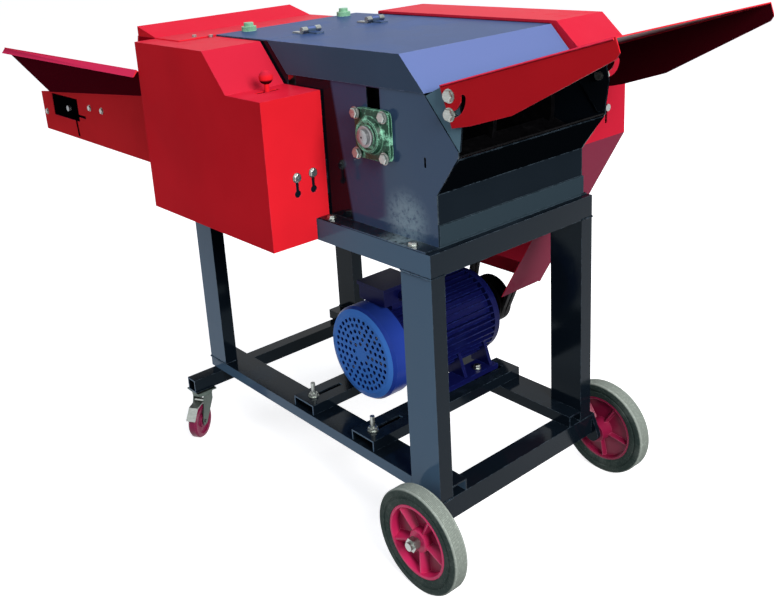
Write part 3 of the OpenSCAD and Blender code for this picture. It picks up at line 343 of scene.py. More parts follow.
# Slate with a painted sky reflection on its slope, a darker painted tone on its top, and a lavender dust
# that is partly painted sky reflection.
slate = sprayed_paint("slate_cover_paint", srgb(70, 88, 110), 0.01, srgb(150, 164, 200), srgb(128, 145, 190),
                      0.25, sheen=srgb(98, 116, 166), crown=srgb(57, 80, 124))
# Front panel painted darker as shade beneath the hood, darkest where it looks down, lighter below a height.
lip_dark = sprayed_paint("shaded_panel_paint", srgb(24, 32, 39), 0.0, PALE_EDGE, PANEL_DUST, 0.2,
                         under=srgb(6, 10, 14), foot=(srgb(46, 60, 68), BAND_TOP))
# The mouth flange's near faces are painted lighter as light.
flange_grey = sprayed_paint("mouth_flange_paint", srgb(16, 22, 28), 0.0, PALE_EDGE, PANEL_DUST, 0.2,
                            near=srgb(104, 136, 150))
print("chalky place at", tuple(round(c, 3) for c in chalk_at))

# %% [markdown]
# The trough, the guards and the hoods are red: lighter and darker copies of one red that stand for the
# light each part gets, with painted light on slopes and tops and painted shade inside and on faces that
# look down. The motor is navy with a brighter cowl, whose near faces are painted lighter as light.

# %% Red and blue paints
RED_EDGE, RED_DUST = srgb(244, 80, 104), srgb(246, 100, 118)
# Red tones painted as light on slopes and tops, and a dark red painted as shade.
SLOPE_RED, TOP_RED, HOOD_INSIDE = srgb(204, 38, 60), srgb(224, 34, 58), srgb(58, 4, 14)


def red_coat(name, colour, shine, dust_amount=0.10, **places):
    return sprayed_paint(name, colour, shine, RED_EDGE, RED_DUST, dust_amount, **places)


# Painted light on slopes and tops, painted shade on faces that look down.
red = red_coat("red_paint", srgb(230, 34, 46), 0.005, sheen=SLOPE_RED, crown=TOP_RED, under=HOOD_INSIDE)
# A lighter copy of the red for the trough's dim place, painted lighter on its leaning lips and darker as
# shade beneath its wings.
trough_red = red_coat("trough_paint", srgb(252, 52, 58), 0.0, sheen=srgb(250, 58, 104),
                      under=srgb(110, 14, 34))
# A darker copy of the red for the guard, with painted light on slopes and tops and painted shade beneath.
guard_red = red_coat("guard_paint", srgb(204, 36, 58), 0.005, sheen=SLOPE_RED, crown=TOP_RED,
                     under=srgb(150, 52, 78))
# A darker copy of the red, as painted shade.
shaded_red = red_coat("shaded_red_paint", srgb(150, 12, 26), 0.0, 0.06)
# A darker copy of the red for the hood, painted dark inside as shade.
hood_red = red_coat("hood_paint", srgb(208, 30, 40), 0.02, inside=HOOD_INSIDE)
# The cowl's near faces are painted lighter as light.
cowl_blue = sprayed_paint("cowl_blue", srgb(38, 66, 158), 0.06, srgb(84, 130, 215), srgb(70, 100, 180), 0.10,
                          near=srgb(76, 142, 236))
motor_navy = sprayed_paint("motor_blue", srgb(15, 19, 72), 0.06, srgb(44, 66, 150), srgb(50, 64, 130), 0.12)
print("red and blue paints ready")

# %% [markdown]
# The wheels have hubs of moulded plastic and solid tyres. Moulded plastic is even, with a faint
# texture from the mould; the hub is painted darker as shade where it is deep and on faces that look to
# the machine's middle. Tyre rubber is dark green-grey, and its tread is pale with road dust: a mask on
# the distance from the axle puts the dust on the tread alone, on the wheel's own coordinates, so that it
# turns with the wheel.

# %% Plastics and rubbers
PLASTIC_DRIFT, PLASTIC_SHEEN, MOULD_SKIN = (9.0, 3.0), (30.0, 4.0), (700.0, 2.0)
FILM, GRIT, RUBBER_SKIN = (14.0, 6.0, 0.65), (180.0, 3.0), (320.0, 4.0)
RECESS_AMOUNT, PALE_PINK = 0.85, srgb(240, 110, 150)


def moulded(name, colour, rough, recess=None):
    f = Finish(name)
    drift = f.window(f.noise(*PLASTIC_DRIFT), 0.3, 0.7)
    base = f.mix(drift, darker(colour, 0.88), darker(colour, 1.05))
    # Painted shade in the hub's recess and on faces that look to the machine's middle.
    if recess:
        shade = f.reckon("MAXIMUM", to_middle(f), from_middle(f, *recess))
        base = f.mix(f.reckon("MULTIPLY", shade, RECESS_AMOUNT), base, darker(colour, 0.22))
    base = f.mix(f.reckon("MULTIPLY", worn_edges(f, 0.0016), 0.4), base, PALE_PINK)
    f.shade(Base_Color=base, Specular_IOR_Level=0.25)
    f.shade(Roughness=f.window(f.noise(*PLASTIC_SHEEN), 0.3, 0.7, rough, rough + 0.12))
    f.bump(f.noise(*MOULD_SKIN), 0.06, 0.0004)
    return f.mat


def rubber(name, colour, dust, amount, axle=None, tread=None):
    f = Finish(name)
    film = f.window(f.noise(*FILM), 0.42, 0.72)
    grit = f.window(f.noise(*GRIT), 0.5, 0.75)
    dirt = f.reckon("ADD", f.reckon("MULTIPLY", film, 0.7), f.reckon("MULTIPLY", grit, 0.4))
    base = f.mix(f.reckon("MULTIPLY", dirt, amount), colour, dust)
    if axle:
        dusted = f.mix(grit, darker(dust, 0.86), darker(dust, 1.25))
        base = f.mix(from_axle(f, axle, *tread), base, dusted)
    f.shade(Base_Color=base, Specular_IOR_Level=0.08)
    f.shade(Roughness=f.window(film, 0.0, 1.0, 0.62, 0.86))
    f.bump(f.noise(*RUBBER_SKIN), 0.2, 0.0006)
    return f.mat


RECESS_START, RECESS_FLOOR = 0.013, 0.022
DUST_START, DUST_FULL = 0.0045, 0.0008
tyre_lo, tyre_hi = (Vector(c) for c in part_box("tyre_near"))
far_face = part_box("tyre_far")[1][1]
axle_line = (tyre_lo + tyre_hi) / 2
tyre_radius = (tyre_hi.z - tyre_lo.z) / 2
wheel_mid, wheel_half = (tyre_lo.y + far_face) / 2, (far_face - tyre_lo.y) / 2
hub_plastic = moulded("hub_plastic", srgb(224, 44, 104), 0.32,
                      (wheel_mid, wheel_half - RECESS_START, wheel_half - RECESS_FLOOR))
# Darker than the hub, partly as painted shade.
caster_plastic = moulded("caster_plastic", srgb(126, 20, 66), 0.34)
tyre_rubber = rubber("tyre_rubber", srgb(46, 60, 56), srgb(162, 172, 162), 0.30, axle_line,
                     (tyre_radius - DUST_START, tyre_radius - DUST_FULL))
belt_rubber = rubber("belt_rubber", srgb(24, 24, 25), srgb(70, 72, 68), 0.20)
print("plastics and rubbers ready, tyre radius %.3f m" % tyre_radius)

# %% [markdown]
# Castings are rougher than sheet: their skin is pitted, and green enamel on the bearings has worn to a
# pale green on the high places. Plated bolts and turned shafts are bare metal, with fine marks along the
# way they were turned or rolled. The cutting drum is painted nearly black, as the shade inside the mouth.

# %% Castings and bare metal
PATCHES, GRIME, CAST_SKIN = (42.0, 6.0, 0.7), (26.0, 5.0, 0.6), (150.0, 5.0, 0.6)
MARKS, STAINS = (90.0, 4.0, 0.6), (24.0, 5.0)
ROLLED, TURNED = (1.0, 1.0, 6.0), (6.0, 1.0, 6.0)


def casting(name, colour, worn, wear, shine):
    f = Finish(name)
    patch = f.window(f.noise(*PATCHES), 0.50, 0.66)
    mask = f.reckon("MULTIPLY", f.reckon("ADD", patch, worn_edges(f, 0.0035)), wear)
    dirt = f.window(f.noise(*GRIME), 0.55, 0.75)
    base = f.mix(mask, colour, worn)
    base = f.mix(f.reckon("MULTIPLY", dirt, 0.8), base, darker(colour, 0.2))
    f.shade(Base_Color=base, Specular_IOR_Level=shine)
    f.shade(Roughness=f.window(patch, 0.0, 1.0, 0.42, 0.66))
    f.bump(f.noise(*CAST_SKIN), 0.25, 0.0012)
    return f.mat


def bare_metal(name, colour, rough, grain):
    f = Finish(name)
    lines = f.noise(*MARKS, grain)
    stain = f.window(f.noise(*STAINS), 0.5, 0.75)
    base = f.mix(f.window(lines, 0.3, 0.7), darker(colour, 0.78), colour)
    base = f.mix(f.reckon("MULTIPLY", stain, 0.45), base, darker(colour, 0.5))
    f.shade(Base_Color=base, Metallic=1.0)
    f.shade(Roughness=f.window(lines, 0.25, 0.75, rough, rough + 0.16))
    f.bump(lines, 0.06, 0.0003)
    return f.mat


green_casting = casting("green_casting", srgb(24, 62, 45), srgb(168, 246, 206), 0.80, 0.25)
pale_green = casting("pale_green_casting", srgb(120, 178, 140), srgb(190, 232, 200), 0.6, 0.3)
black_iron = casting("black_iron", srgb(7, 7, 8), srgb(34, 34, 36), 0.14, 0.04)
shaded_iron = casting("shaded_iron", srgb(4, 4, 6), srgb(20, 20, 24), 0.10, 0.0)
# Nearly black, as painted shade inside the mouth.
stained_steel = casting("stained_steel", srgb(11, 11, 13), srgb(40, 40, 42), 0.22, 0.05)
zinc_steel = bare_metal("zinc_steel", srgb(168, 174, 170), 0.27, ROLLED)
# A darker copy of the zinc, as painted shade on the casters.
dull_zinc = bare_metal("dull_zinc", srgb(92, 104, 98), 0.40, ROLLED)
bare_steel = bare_metal("bare_steel", srgb(150, 152, 154), 0.34, TURNED)
print("castings and metals ready")

# %% [markdown]
# Every solid that stays gets the finish of its own material slot, so the parts and their record
# agree. A few solids have their own variant of it: the sloping cover has painted light on its slope
# and top, the drum and the casters' zinc are painted darker as shade, the trough, the guard, the hood,
# the front panel, the side plate and the mouth flange carry painted light and shade of their own, the
# motor's cowl is a brighter blue than its body.

# %% Give the solids their finishes
FINISH = {
    "charcoal_paint": charcoal, "red_paint": red, "motor_blue": motor_navy,
    "hub_plastic": hub_plastic, "caster_plastic": caster_plastic, "tyre_rubber": tyre_rubber,
    "belt_rubber": belt_rubber, "black_iron": black_iron, "green_casting": green_casting,
    "zinc_steel": zinc_steel, "bare_steel": bare_steel,
}
VARIANT = {
    "rotor_cover": slate, "feed_top_plate": slate, "front_panel": lip_dark, "mouth_flange": flange_grey,
    "drum_shell": stained_steel, "rotor_discs": stained_steel, "rotor_blades": stained_steel,
    "trough_side_near": trough_red, "trough_side_far": trough_red, "belt_guard": guard_red,
    "side_plate_near": plate_paint, "tail_blocks": shaded_iron,
    "discharge_hood": hood_red, "motor_cowl": cowl_blue, "tension_screws": pale_green,
    "caster_fork_near": dull_zinc, "caster_fork_far": dull_zinc, "caster_plates": dull_zinc,
}
for part in frame["record"]["subparts"]:
    solid = nodes[part["node"]]
    solid.data.materials.clear()
    solid.data.materials.append(VARIANT.get(part["node"], FINISH[part["material_slot"]]))

# %% [markdown]
# The pieces below are drawn in the machine's own drawing, in millimetres from its front corner.
# One helper turns a drawing point into the frame's metres, one turns a bmesh into a mesh whose faces
# point outwards, and one puts a mesh on the body that carries it.

# %% From the drawing to the frame
DRAWING_ZERO = Vector((181.531, 285.0, 0.0))


def at(x, y, z):
    """A point of the drawing, in the frame's metres."""
    return (Vector((x, y, z)) - DRAWING_ZERO) / 1000


def drawn_box(node):
    """A solid's box, in the drawing's millimetres."""
    return [Vector(c) * 1000 + DRAWING_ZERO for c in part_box(node)]


def mesh_of(bm, name):
    bmesh.ops.recalc_face_normals(bm, faces=bm.faces)
    mesh = bpy.data.meshes.new(name)
    bm.to_mesh(mesh)
    bm.free()
    return mesh


def finish_piece(name, mesh, finish, body, replaced=(), crease=35):
    if finish:
        mesh.materials.clear()
        mesh.materials.append(finish)
    mesh.polygons.foreach_set("use_smooth", [True] * len(mesh.polygons))
    mesh.set_sharp_from_angle(angle=math.radians(crease))
    piece = bpy.data.objects.new(name, mesh)
    bpy.context.collection.objects.link(piece)
    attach(piece, body)
    if replaced:
        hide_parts(*replaced)
    print(name, "faces:", len(mesh.polygons))


print("drawing zero", tuple(at(0, 0, 0)))

# %% [markdown]
# A tyre is turned: one outline, swept round the axle. It could be a screw modifier, but a short
# loop keeps the outline closed and lets the tread's ribs come from a count. The tread stands where
# the solid's tread is, so the wheel keeps its size.


# %% Sweep an outline round an axle
def swept(bm, outline, centre, inward, steps):
    """Sweeps a closed outline of (radius, depth) round an axle along Y; it may depend on the angle."""
    rings = []
    for i in range(steps):
        a = 2 * math.pi * i / steps
        points = outline(a) if callable(outline) else outline
        rings.append([bm.verts.new(centre + Vector((r * math.cos(a), inward * d, r * math.sin(a))) / 1000)
                      for r, d in points])
    for here, there in zip(rings, rings[1:] + rings[:1]):
        sides = len(here)
        for j in range(sides):
            k = (j + 1) % sides
            bm.faces.new((here[j], here[k], there[k], there[j]))


TREAD_R, TREAD_W, RIBS, GROOVE = 125.0, 40.0, 9, 1.6
RIB_START, RIB_END, GROOVE_START, GROOVE_END = 0.3, 0.62, 0.70, 0.94
SIDEWALL = [(88.3, 2.0), (92.0, 0.7), (97.0, 0.2), (102.5, 0.2), (103.5, 1.8), (107.5, 1.8), (108.5, 0.0),
            (119.0, 0.0), (122.8, 1.2), (124.4, 3.4)]
SHOULDER = 4.4


def tyre_outline():
    pitch = (TREAD_W - 2 * SHOULDER) / RIBS
    ribs = []
    for k in range(RIBS):
        start = SHOULDER + k * pitch
        ribs += [(TREAD_R, start + RIB_START), (TREAD_R, start + RIB_END * pitch),
                 (TREAD_R - GROOVE, start + GROOVE_START * pitch),
                 (TREAD_R - GROOVE, start + GROOVE_END * pitch)]
    other = [(r, TREAD_W - d) for r, d in reversed(SIDEWALL)]
    return SIDEWALL + ribs[:-2] + other


print("points in a tyre's outline:", len(tyre_outline()))

# %% [markdown]
# Both tyres come from the same outline. Each starts at its wheel's outer face, which the solid's box
# gives, and is swept inwards from there.

# %% Ribbed tyres
INWARD = {"near": 1.0, "far": -1.0}
TYRE_STEPS = 144


def outer_face(node, side):
    """The outer end of a piece across the machine."""
    lo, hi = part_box(node)
    return lo[1] if side == "near" else hi[1]


wheel_face = {}
for side, inward in INWARD.items():
    lo, hi = (Vector(c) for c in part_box("tyre_" + side))
    face = (lo + hi) / 2
    face.y = outer_face("tyre_" + side, side)
    wheel_face[side] = face
    bm = bmesh.new()
    swept(bm, tyre_outline(), face, inward, TYRE_STEPS)
    finish_piece("ribbed_tyre_" + side, mesh_of(bm, "ribbed_tyre_" + side), tyre_rubber, "wheel_" + side,
                 ["tyre_" + side], crease=40)

# %% [markdown]
# Geometry Nodes make what repeats. A tree could be drawn in the node editor; here a class builds it,
# with named inputs for its sizes. Every tree ends in Realize Instances and Set Material, because an
# export drops instances.


# %% A Geometry Nodes tree under construction
class Tree:
    """A Geometry Nodes tree under construction."""

    def __init__(self, name):
        self.tree = bpy.data.node_groups.new(name, "GeometryNodeTree")
        self.tree.interface.new_socket("Start", in_out="INPUT", socket_type="NodeSocketGeometry")
        self.tree.interface.new_socket("Result", in_out="OUTPUT", socket_type="NodeSocketGeometry")
        self.keys = {}
        self.entry = self.tree.nodes.new("NodeGroupInput")

    def ask(self, name, kind="NodeSocketFloat"):
        socket = self.tree.interface.new_socket(name, in_out="INPUT", socket_type=kind)
        self.keys[name] = socket.identifier
        return self.entry.outputs[name]

    def add(self, kind, settings=None, **inputs):
        node = self.tree.nodes.new(kind)
        for key, value in (settings or {}).items():
            setattr(node, key, value)
        for key, value in inputs.items():
            self.put(node.inputs[key.replace("_", " ")], value)
        return node.outputs[0]

    def put(self, socket, value):
        if isinstance(value, bpy.types.NodeSocket):
            self.tree.links.new(value, socket)
        else:
            socket.default_value = value

    def reckon(self, kind, *values):
        result = self.add("ShaderNodeMath", {"operation": kind})
        for socket, value in zip(result.node.inputs, values):
            self.put(socket, value)
        return result

    def tilt_about_y(self, angle):
        return self.add("FunctionNodeEulerToRotation", Euler=self.add("ShaderNodeCombineXYZ", Y=angle))

    def join(self, *pieces):
        node = self.tree.nodes.new("GeometryNodeJoinGeometry")
        for piece in pieces:
            self.tree.links.new(piece, node.inputs[0])
        return node.outputs[0]

    def end(self, geometry):
        finish = self.ask("Finish", "NodeSocketMaterial")
        real = self.add("GeometryNodeRealizeInstances", Geometry=geometry)
        done = self.add("GeometryNodeSetMaterial", Geometry=real, Material=finish)
        self.tree.links.new(done, self.tree.nodes.new("NodeGroupOutput").inputs[0])


print("trees can be built")

# %% [markdown]
# To use a tree, a start mesh gets it as a modifier, with each input set by its socket's identifier.
# The evaluated result is copied to a plain mesh, and the start mesh is thrown away.


# %% Run a tree on a start mesh
def run_tree(tree, name, points, edges=(), faces=(), **values):
    start = bpy.data.meshes.new(name + "_start")
    start.from_pydata(points, edges, faces)
    holder = bpy.data.objects.new(name + "_start", start)
    bpy.context.collection.objects.link(holder)
    nodes_mod = holder.modifiers.new("make", "NODES")
    nodes_mod.node_group = tree.tree
    for key, value in values.items():
        nodes_mod[tree.keys[key.replace("_", " ")]] = value
    view = bpy.context.evaluated_depsgraph_get()
    mesh = bpy.data.meshes.new_from_object(holder.evaluated_get(view), depsgraph=view)
    mesh.name = name
    holder.modifiers.clear()
    bpy.data.objects.remove(holder)
    bpy.data.meshes.remove(start)
    return mesh


print("trees can be run")

# %% [markdown]
# The hub is moulded in one piece: a rim, a closed web deep inside it, a boss, and on each side of
# the web five spokes like little roofs that widen towards the rim. The spokes repeat, so a tree
# takes one roof and places it round the axle.

# %% A tree of spokes
roofs = Tree("spokes_round_an_axle")
spoke_count = roofs.ask("Count", "NodeSocketInt")
first_turn = roofs.ask("Turn")
hub_at = roofs.ask("Place", "NodeSocketVector")
spoke_step = roofs.reckon("DIVIDE", 2 * math.pi, spoke_count)
spoke_turn = roofs.reckon("MULTIPLY_ADD", roofs.add("GeometryNodeInputIndex"), spoke_step, first_turn)
spots = roofs.add("GeometryNodeMeshLine", Count=spoke_count, Offset=(0.0, 0.0, 0.0))
spokes = roofs.add("GeometryNodeInstanceOnPoints", Points=spots, Instance=roofs.entry.outputs["Start"],
                   Rotation=roofs.tilt_about_y(spoke_turn))
roofs.end(roofs.add("GeometryNodeTransform", Geometry=spokes, Translation=hub_at))


def one_roof(inward, ends):
    """A spoke along +X: two roof faces, a narrow flat ridge, closed ends. In metres."""
    points = []
    for r, half, ridge, deep, high in ends:
        low, top = inward * deep, inward * high
        points += [(r, low, -half), (r, top, -ridge), (r, top, ridge), (r, low, half)]
    faces = [(0, 1, 2, 3), (7, 6, 5, 4), (0, 4, 5, 1), (1, 5, 6, 2), (2, 6, 7, 3), (3, 7, 4, 0)]
    return [tuple(c / 1000 for c in p) for p in points], faces


print("spoke inputs:", list(roofs.keys))

# %% [markdown]
# The rim, web and boss are swept like the tyre, from an outline in millimetres, and the spokes join
# them in the same mesh. Each end of a spoke has a radius, half its width, half its ridge's width,
# and the depths of its foot and its ridge below the wheel's outer face.

# %% Wheel hubs
SPOKES, SPOKE_TURN = 5, 13.0
BORE_R = 10.3
HUB_STEPS = 96
HUB_OUTLINE = [(87.9, 2.2), (86.6, 0.9), (82.4, 0.9), (81.0, 2.4), (77.0, 23.0), (30.0, 26.0), (27.0, 9.0),
               (24.5, 6.5), (BORE_R, 6.5), (BORE_R, 64.0), (27.0, 64.0), (29.0, 40.0), (31.0, 30.0),
               (78.0, 27.0), (81.5, 37.0), (84.0, 38.8), (87.9, 37.8)]
OUTER_ENDS = [(22.0, 7.5, 1.0, 25.0, 9.5), (79.5, 18.0, 1.8, 24.0, 3.6)]
INNER_ENDS = [(28.0, 5.0, 1.0, 27.0, 41.0), (79.5, 8.0, 1.2, 26.0, 36.5)]

for side, inward in INWARD.items():
    face = wheel_face[side]
    bm = bmesh.new()
    swept(bm, HUB_OUTLINE, face, inward, HUB_STEPS)
    for ends in (OUTER_ENDS, INNER_ENDS):
        roof_points, roof_faces = one_roof(inward, ends)
        bm.from_mesh(run_tree(roofs, "spokes_" + side, roof_points, faces=roof_faces, Count=SPOKES,
                              Turn=math.radians(SPOKE_TURN), Place=tuple(face), Finish=hub_plastic))
    finish_piece("moulded_hub_" + side, mesh_of(bm, "moulded_hub_" + side), hub_plastic, "wheel_" + side,
                 ["hub_" + side], crease=28)

# %% [markdown]
# A flange bearing is a casting with a square foot, rounded at the corners, and a round housing. The
# sweep can make both at once if the outline follows a rounded square near the plate and a circle
# near the shaft. A locking collar holds the shaft's end and turns with it.

# %% Flange bearings
FLANGE_HALF, FLANGE_ROUND, FLANGE_DEEP = 57.5, 9.0, 28.0
SHAFT_R = 17.8
ROTOR_X, ROTOR_Z = 789.0, 1012.0
PLATE_NEAR, PLATE_FAR = 42.0, 528.0
BEARING_STEPS, COLLAR_STEPS = 64, 48


def bearing_outline(a):
    corner = abs(math.cos(a)) ** FLANGE_ROUND + abs(math.sin(a)) ** FLANGE_ROUND
    foot = FLANGE_HALF / corner ** (1 / FLANGE_ROUND)
    return [(SHAFT_R, 14.0), (SHAFT_R, 1.0), (24.0, 1.0), (25.0, 3.0), (33.0, 3.0), (34.5, 1.2), (38.0, 2.4),
            (40.0, 6.0), (43.0, 13.0), (46.5, 15.0), (foot - 3.0, 16.6), (foot, 19.0), (foot, FLANGE_DEEP),
            (SHAFT_R, FLANGE_DEEP)]


near_housing = at(ROTOR_X, PLATE_NEAR - FLANGE_DEEP, ROTOR_Z)
bm = bmesh.new()
swept(bm, bearing_outline, near_housing, 1.0, BEARING_STEPS)
swept(bm, bearing_outline, at(ROTOR_X, PLATE_FAR + FLANGE_DEEP, ROTOR_Z), -1.0, BEARING_STEPS)
finish_piece("flange_bearings", mesh_of(bm, "flange_bearings"), green_casting, "frame",
             ["main_bearings"])

COLLAR = [(2.5, -13.0), (14.5, -13.0), (17.6, -11.0), (17.6, -5.5), (23.0, -5.5), (24.6, -3.9), (24.6, 1.6),
          (2.5, 1.6)]
bm = bmesh.new()
swept(bm, COLLAR, near_housing, 1.0, COLLAR_STEPS)
finish_piece("locking_collar", mesh_of(bm, "locking_collar"), bare_steel, "rotor")

# %% [markdown]
# Bolts hold everything together. One tree makes a bolt head (washer, six-sided head and a
# chamfered top) and puts it on every point it is given, facing one way. The sizes of its pieces are
# shares of the head's radius and height, so one tree serves every bolt.

# %% A tree of bolt heads
WASHER_WIDE, WASHER_DEEP = 1.14, 0.22
BLOCK_DEEP, CHAMFER_DEEP, CHAMFER_WIDE = 0.82, 0.18, 0.80

heads = Tree("bolt_heads")
head_r = heads.ask("Head radius")
head_h = heads.ask("Head height")
facing = heads.ask("Facing", "NodeSocketVector")


def turned_piece(sides, bottom, top, deep):
    """A short cylinder or cone, its radii and depth as shares of the head's."""
    return heads.add("GeometryNodeMeshCone", Vertices=sides,
                     Radius_Top=heads.reckon("MULTIPLY", head_r, top),
                     Radius_Bottom=heads.reckon("MULTIPLY", head_r, bottom),
                     Depth=heads.reckon("MULTIPLY", head_h, deep))


washer = turned_piece(24, WASHER_WIDE, WASHER_WIDE, WASHER_DEEP)
block = turned_piece(6, 1.0, 1.0, BLOCK_DEEP)
chamfer = turned_piece(6, 1.0, CHAMFER_WIDE, CHAMFER_DEEP)
raise_by = heads.add("ShaderNodeCombineXYZ", Z=heads.reckon("MULTIPLY", head_h, BLOCK_DEEP))
bolt = heads.join(washer, block, heads.add("GeometryNodeTransform", Geometry=chamfer, Translation=raise_by))
aim = heads.add("FunctionNodeAlignRotationToVector", {"axis": "Z"}, Vector=facing)
heads.end(heads.add("GeometryNodeInstanceOnPoints", Points=heads.entry.outputs["Start"], Instance=bolt,
                    Rotation=aim))
print("bolt head inputs:", list(heads.keys))

# %% [markdown]
# Each row below is a group of bolts: the way they face, their radius and height, and where they
# stand in the drawing. Each head covers the plain round head of the solid under it.

# %% Bolts in their places
BOLT_HALF = 46.0


def square_of_bolts(y):
    return [(ROTOR_X + i * BOLT_HALF, y, ROTOR_Z + k * BOLT_HALF) for i in (-1, 1) for k in (-1, 1)]


BOLT_ROWS = [
    ("bearing_bolts_near", (0, -1, 0), 12.4, 9.0, square_of_bolts(26.6)),
    ("bearing_bolts_far", (0, 1, 0), 12.4, 9.0, square_of_bolts(543.4)),
    ("hood_bolts_near", (0, -1, 0), 12.9, 9.6, [(1029, 36, 1124), (1029, 36, 1086)]),
    ("hood_bolts_far", (0, 1, 0), 12.9, 9.6, [(1029, 534, 1124), (1029, 534, 1086)]),
    ("gear_cover_screws", (1, 0, 0), 10.6, 6.6, [(606, -50, 900), (606, -3, 902)]),
    ("base_bolts", (0, 0, 1), 10.6, 8.0, [(640, 17, 790), (923, 17, 790)]),
    ("motor_foot_bolts", (0, 0, 1), 10.6, 11.0, [(x, y, 254) for x in (464, 696) for y in (305, 438)]),
    ("rail_bolts", (0, 0, 1), 12.9, 10.5, [(470, 40, 240), (715, 40, 240)]),
    ("trough_bolts", (0, -1, 0), 9.6, 6.6, [(-1025, 0, 855), (-639, 0, 911), (-545, 0, 912)]),
]
for name, way, radius, height, places in BOLT_ROWS:
    mesh = run_tree(heads, name, [tuple(at(*p)) for p in places], Head_radius=radius / 1000,
                    Head_height=height / 1000, Facing=tuple(float(c) for c in way), Finish=zinc_steel)
    finish_piece(name, mesh, None, "frame", crease=30)

# %% [markdown]
# The frame is welded from square tube. A weld bead is a row of overlapping drops of metal. A tree
# resamples the joint's outline and sets a small drop on every step, each a little different in size;
# the seed is fixed so that every run gives the same bead.

# %% A tree of weld beads
DROP_SIZES, DROP_SEED = {"Min": 0.8, "Max": 1.15}, 11

beads = Tree("weld_beads")
drop_r = beads.ask("Drop radius")
drop_step = beads.ask("Step")
line = beads.add("GeometryNodeMeshToCurve", Mesh=beads.entry.outputs["Start"])
even = beads.add("GeometryNodeResampleCurve", {"mode": "LENGTH"}, Curve=line, Length=drop_step)
drop = beads.add("GeometryNodeMeshIcoSphere", Radius=drop_r, Subdivisions=1)
uneven = beads.add("FunctionNodeRandomValue", {"data_type": "FLOAT"}, Seed=DROP_SEED).node
for socket in uneven.inputs:
    if socket.type == "VALUE" and socket.name in DROP_SIZES:
        socket.default_value = DROP_SIZES[socket.name]
size_of = next(o for o in uneven.outputs if o.type == "VALUE" and o.enabled)
beads.end(beads.add("GeometryNodeInstanceOnPoints", Points=even, Instance=drop, Scale=size_of))
print("weld inputs:", list(beads.keys))

# %% [markdown]
# Every leg is welded all round where it meets the top frame and where it meets the lower rails. The
# solids' boxes give the tubes' corners, so the beads follow the legs.

# %% Weld beads round the legs
LEG_DEEP = 40.0
WELD_HEIGHTS = {"feed_legs": (732.0, 212.0), "discharge_legs": (732.0, 182.0)}
DROP_R, DROP_STEP = 0.0032, 0.0036

bead_points, bead_edges = [], []
for pair, heights in WELD_HEIGHTS.items():
    lo, hi = drawn_box(pair)
    for y0, y1 in ((lo.y, lo.y + LEG_DEEP), (hi.y - LEG_DEEP, hi.y)):
        for z in heights:
            first = len(bead_points)
            corners = [(lo.x, y0), (hi.x, y0), (hi.x, y1), (lo.x, y1)]
            bead_points += [tuple(at(x, y, z)) for x, y in corners]
            bead_edges += [(first + i, first + (i + 1) % 4) for i in range(4)]
weld_mesh = run_tree(beads, "leg_welds", bead_points, bead_edges, Drop_radius=DROP_R, Step=DROP_STEP,
                     Finish=charcoal)
finish_piece("leg_welds", weld_mesh, None, "frame", crease=70)

# %% [markdown]
# The feed belt is a black rubber band with raised bars that carry the straw along. The bars repeat
# at an even pitch on the upper run, so a tree sets one bar on every step of a line.

# %% Bars of the feed belt
BARS, BAR_LONG, BAR_HIGH, BAR_INSET = 19, 9.0, 10.0, 24.0
TAIL_TOP, HEAD_TOP = (-800.0, 933.3), (330.0, 977.0)

bars = Tree("belt_bars")
how_many = bars.ask("Count", "NodeSocketInt")
bar_size = bars.ask("Bar size", "NodeSocketVector")
slope = bars.ask("Slope")
run_line = bars.add("GeometryNodeMeshToCurve", Mesh=bars.entry.outputs["Start"])
stops = bars.add("GeometryNodeResampleCurve", {"mode": "COUNT"}, Curve=run_line, Count=how_many)
one_bar = bars.add("GeometryNodeMeshCube", Size=bar_size)
bars.end(bars.add("GeometryNodeInstanceOnPoints", Points=stops, Instance=one_bar,
                  Rotation=bars.tilt_about_y(slope)))

belt_lo, belt_hi = drawn_box("conveyor_belt")
belt_mid, belt_wide = (belt_lo.y + belt_hi.y) / 2, belt_hi.y - belt_lo.y
rise = math.atan2(HEAD_TOP[1] - TAIL_TOP[1], HEAD_TOP[0] - TAIL_TOP[0])
bar_line = [tuple(at(x, belt_mid, z)) for x, z in (TAIL_TOP, HEAD_TOP)]
bar_mesh = run_tree(bars, "belt_bars", bar_line, [(0, 1)], Count=BARS, Slope=-rise, Finish=belt_rubber,
                    Bar_size=(BAR_LONG / 1000, (belt_wide - BAR_INSET) / 1000, BAR_HIGH / 1000))
finish_piece("belt_bars", bar_mesh, None, "frame")

# %% [markdown]
# Sheet steel that ends in the open often gets a wire rolled into its edge. Two helpers make such
# sheets: one makes a round bead between two points, the other a thin plate with beads along its
# free edges. Both are a few faces, so bmesh is quicker than a tree.

# %% Helpers for sheets and beads
SHEET = 2.5
BEAD_R, BEAD_SIDES = 2.6, 8


def rolled_bead(bm, start, end):
    along = (end - start).normalized()
    across = along.orthogonal().normalized()
    other = along.cross(across)
    angles = [2 * math.pi * k / BEAD_SIDES for k in range(BEAD_SIDES)]
    rims = []
    for spot in (start, end):
        rims.append([bm.verts.new(spot + (across * math.cos(a) + other * math.sin(a)) * BEAD_R / 1000)
                     for a in angles])
    for k in range(BEAD_SIDES):
        n = (k + 1) % BEAD_SIDES
        bm.faces.new((rims[0][k], rims[0][n], rims[1][n], rims[1][k]))
    bm.faces.new(list(reversed(rims[0])))
    bm.faces.new(rims[1])


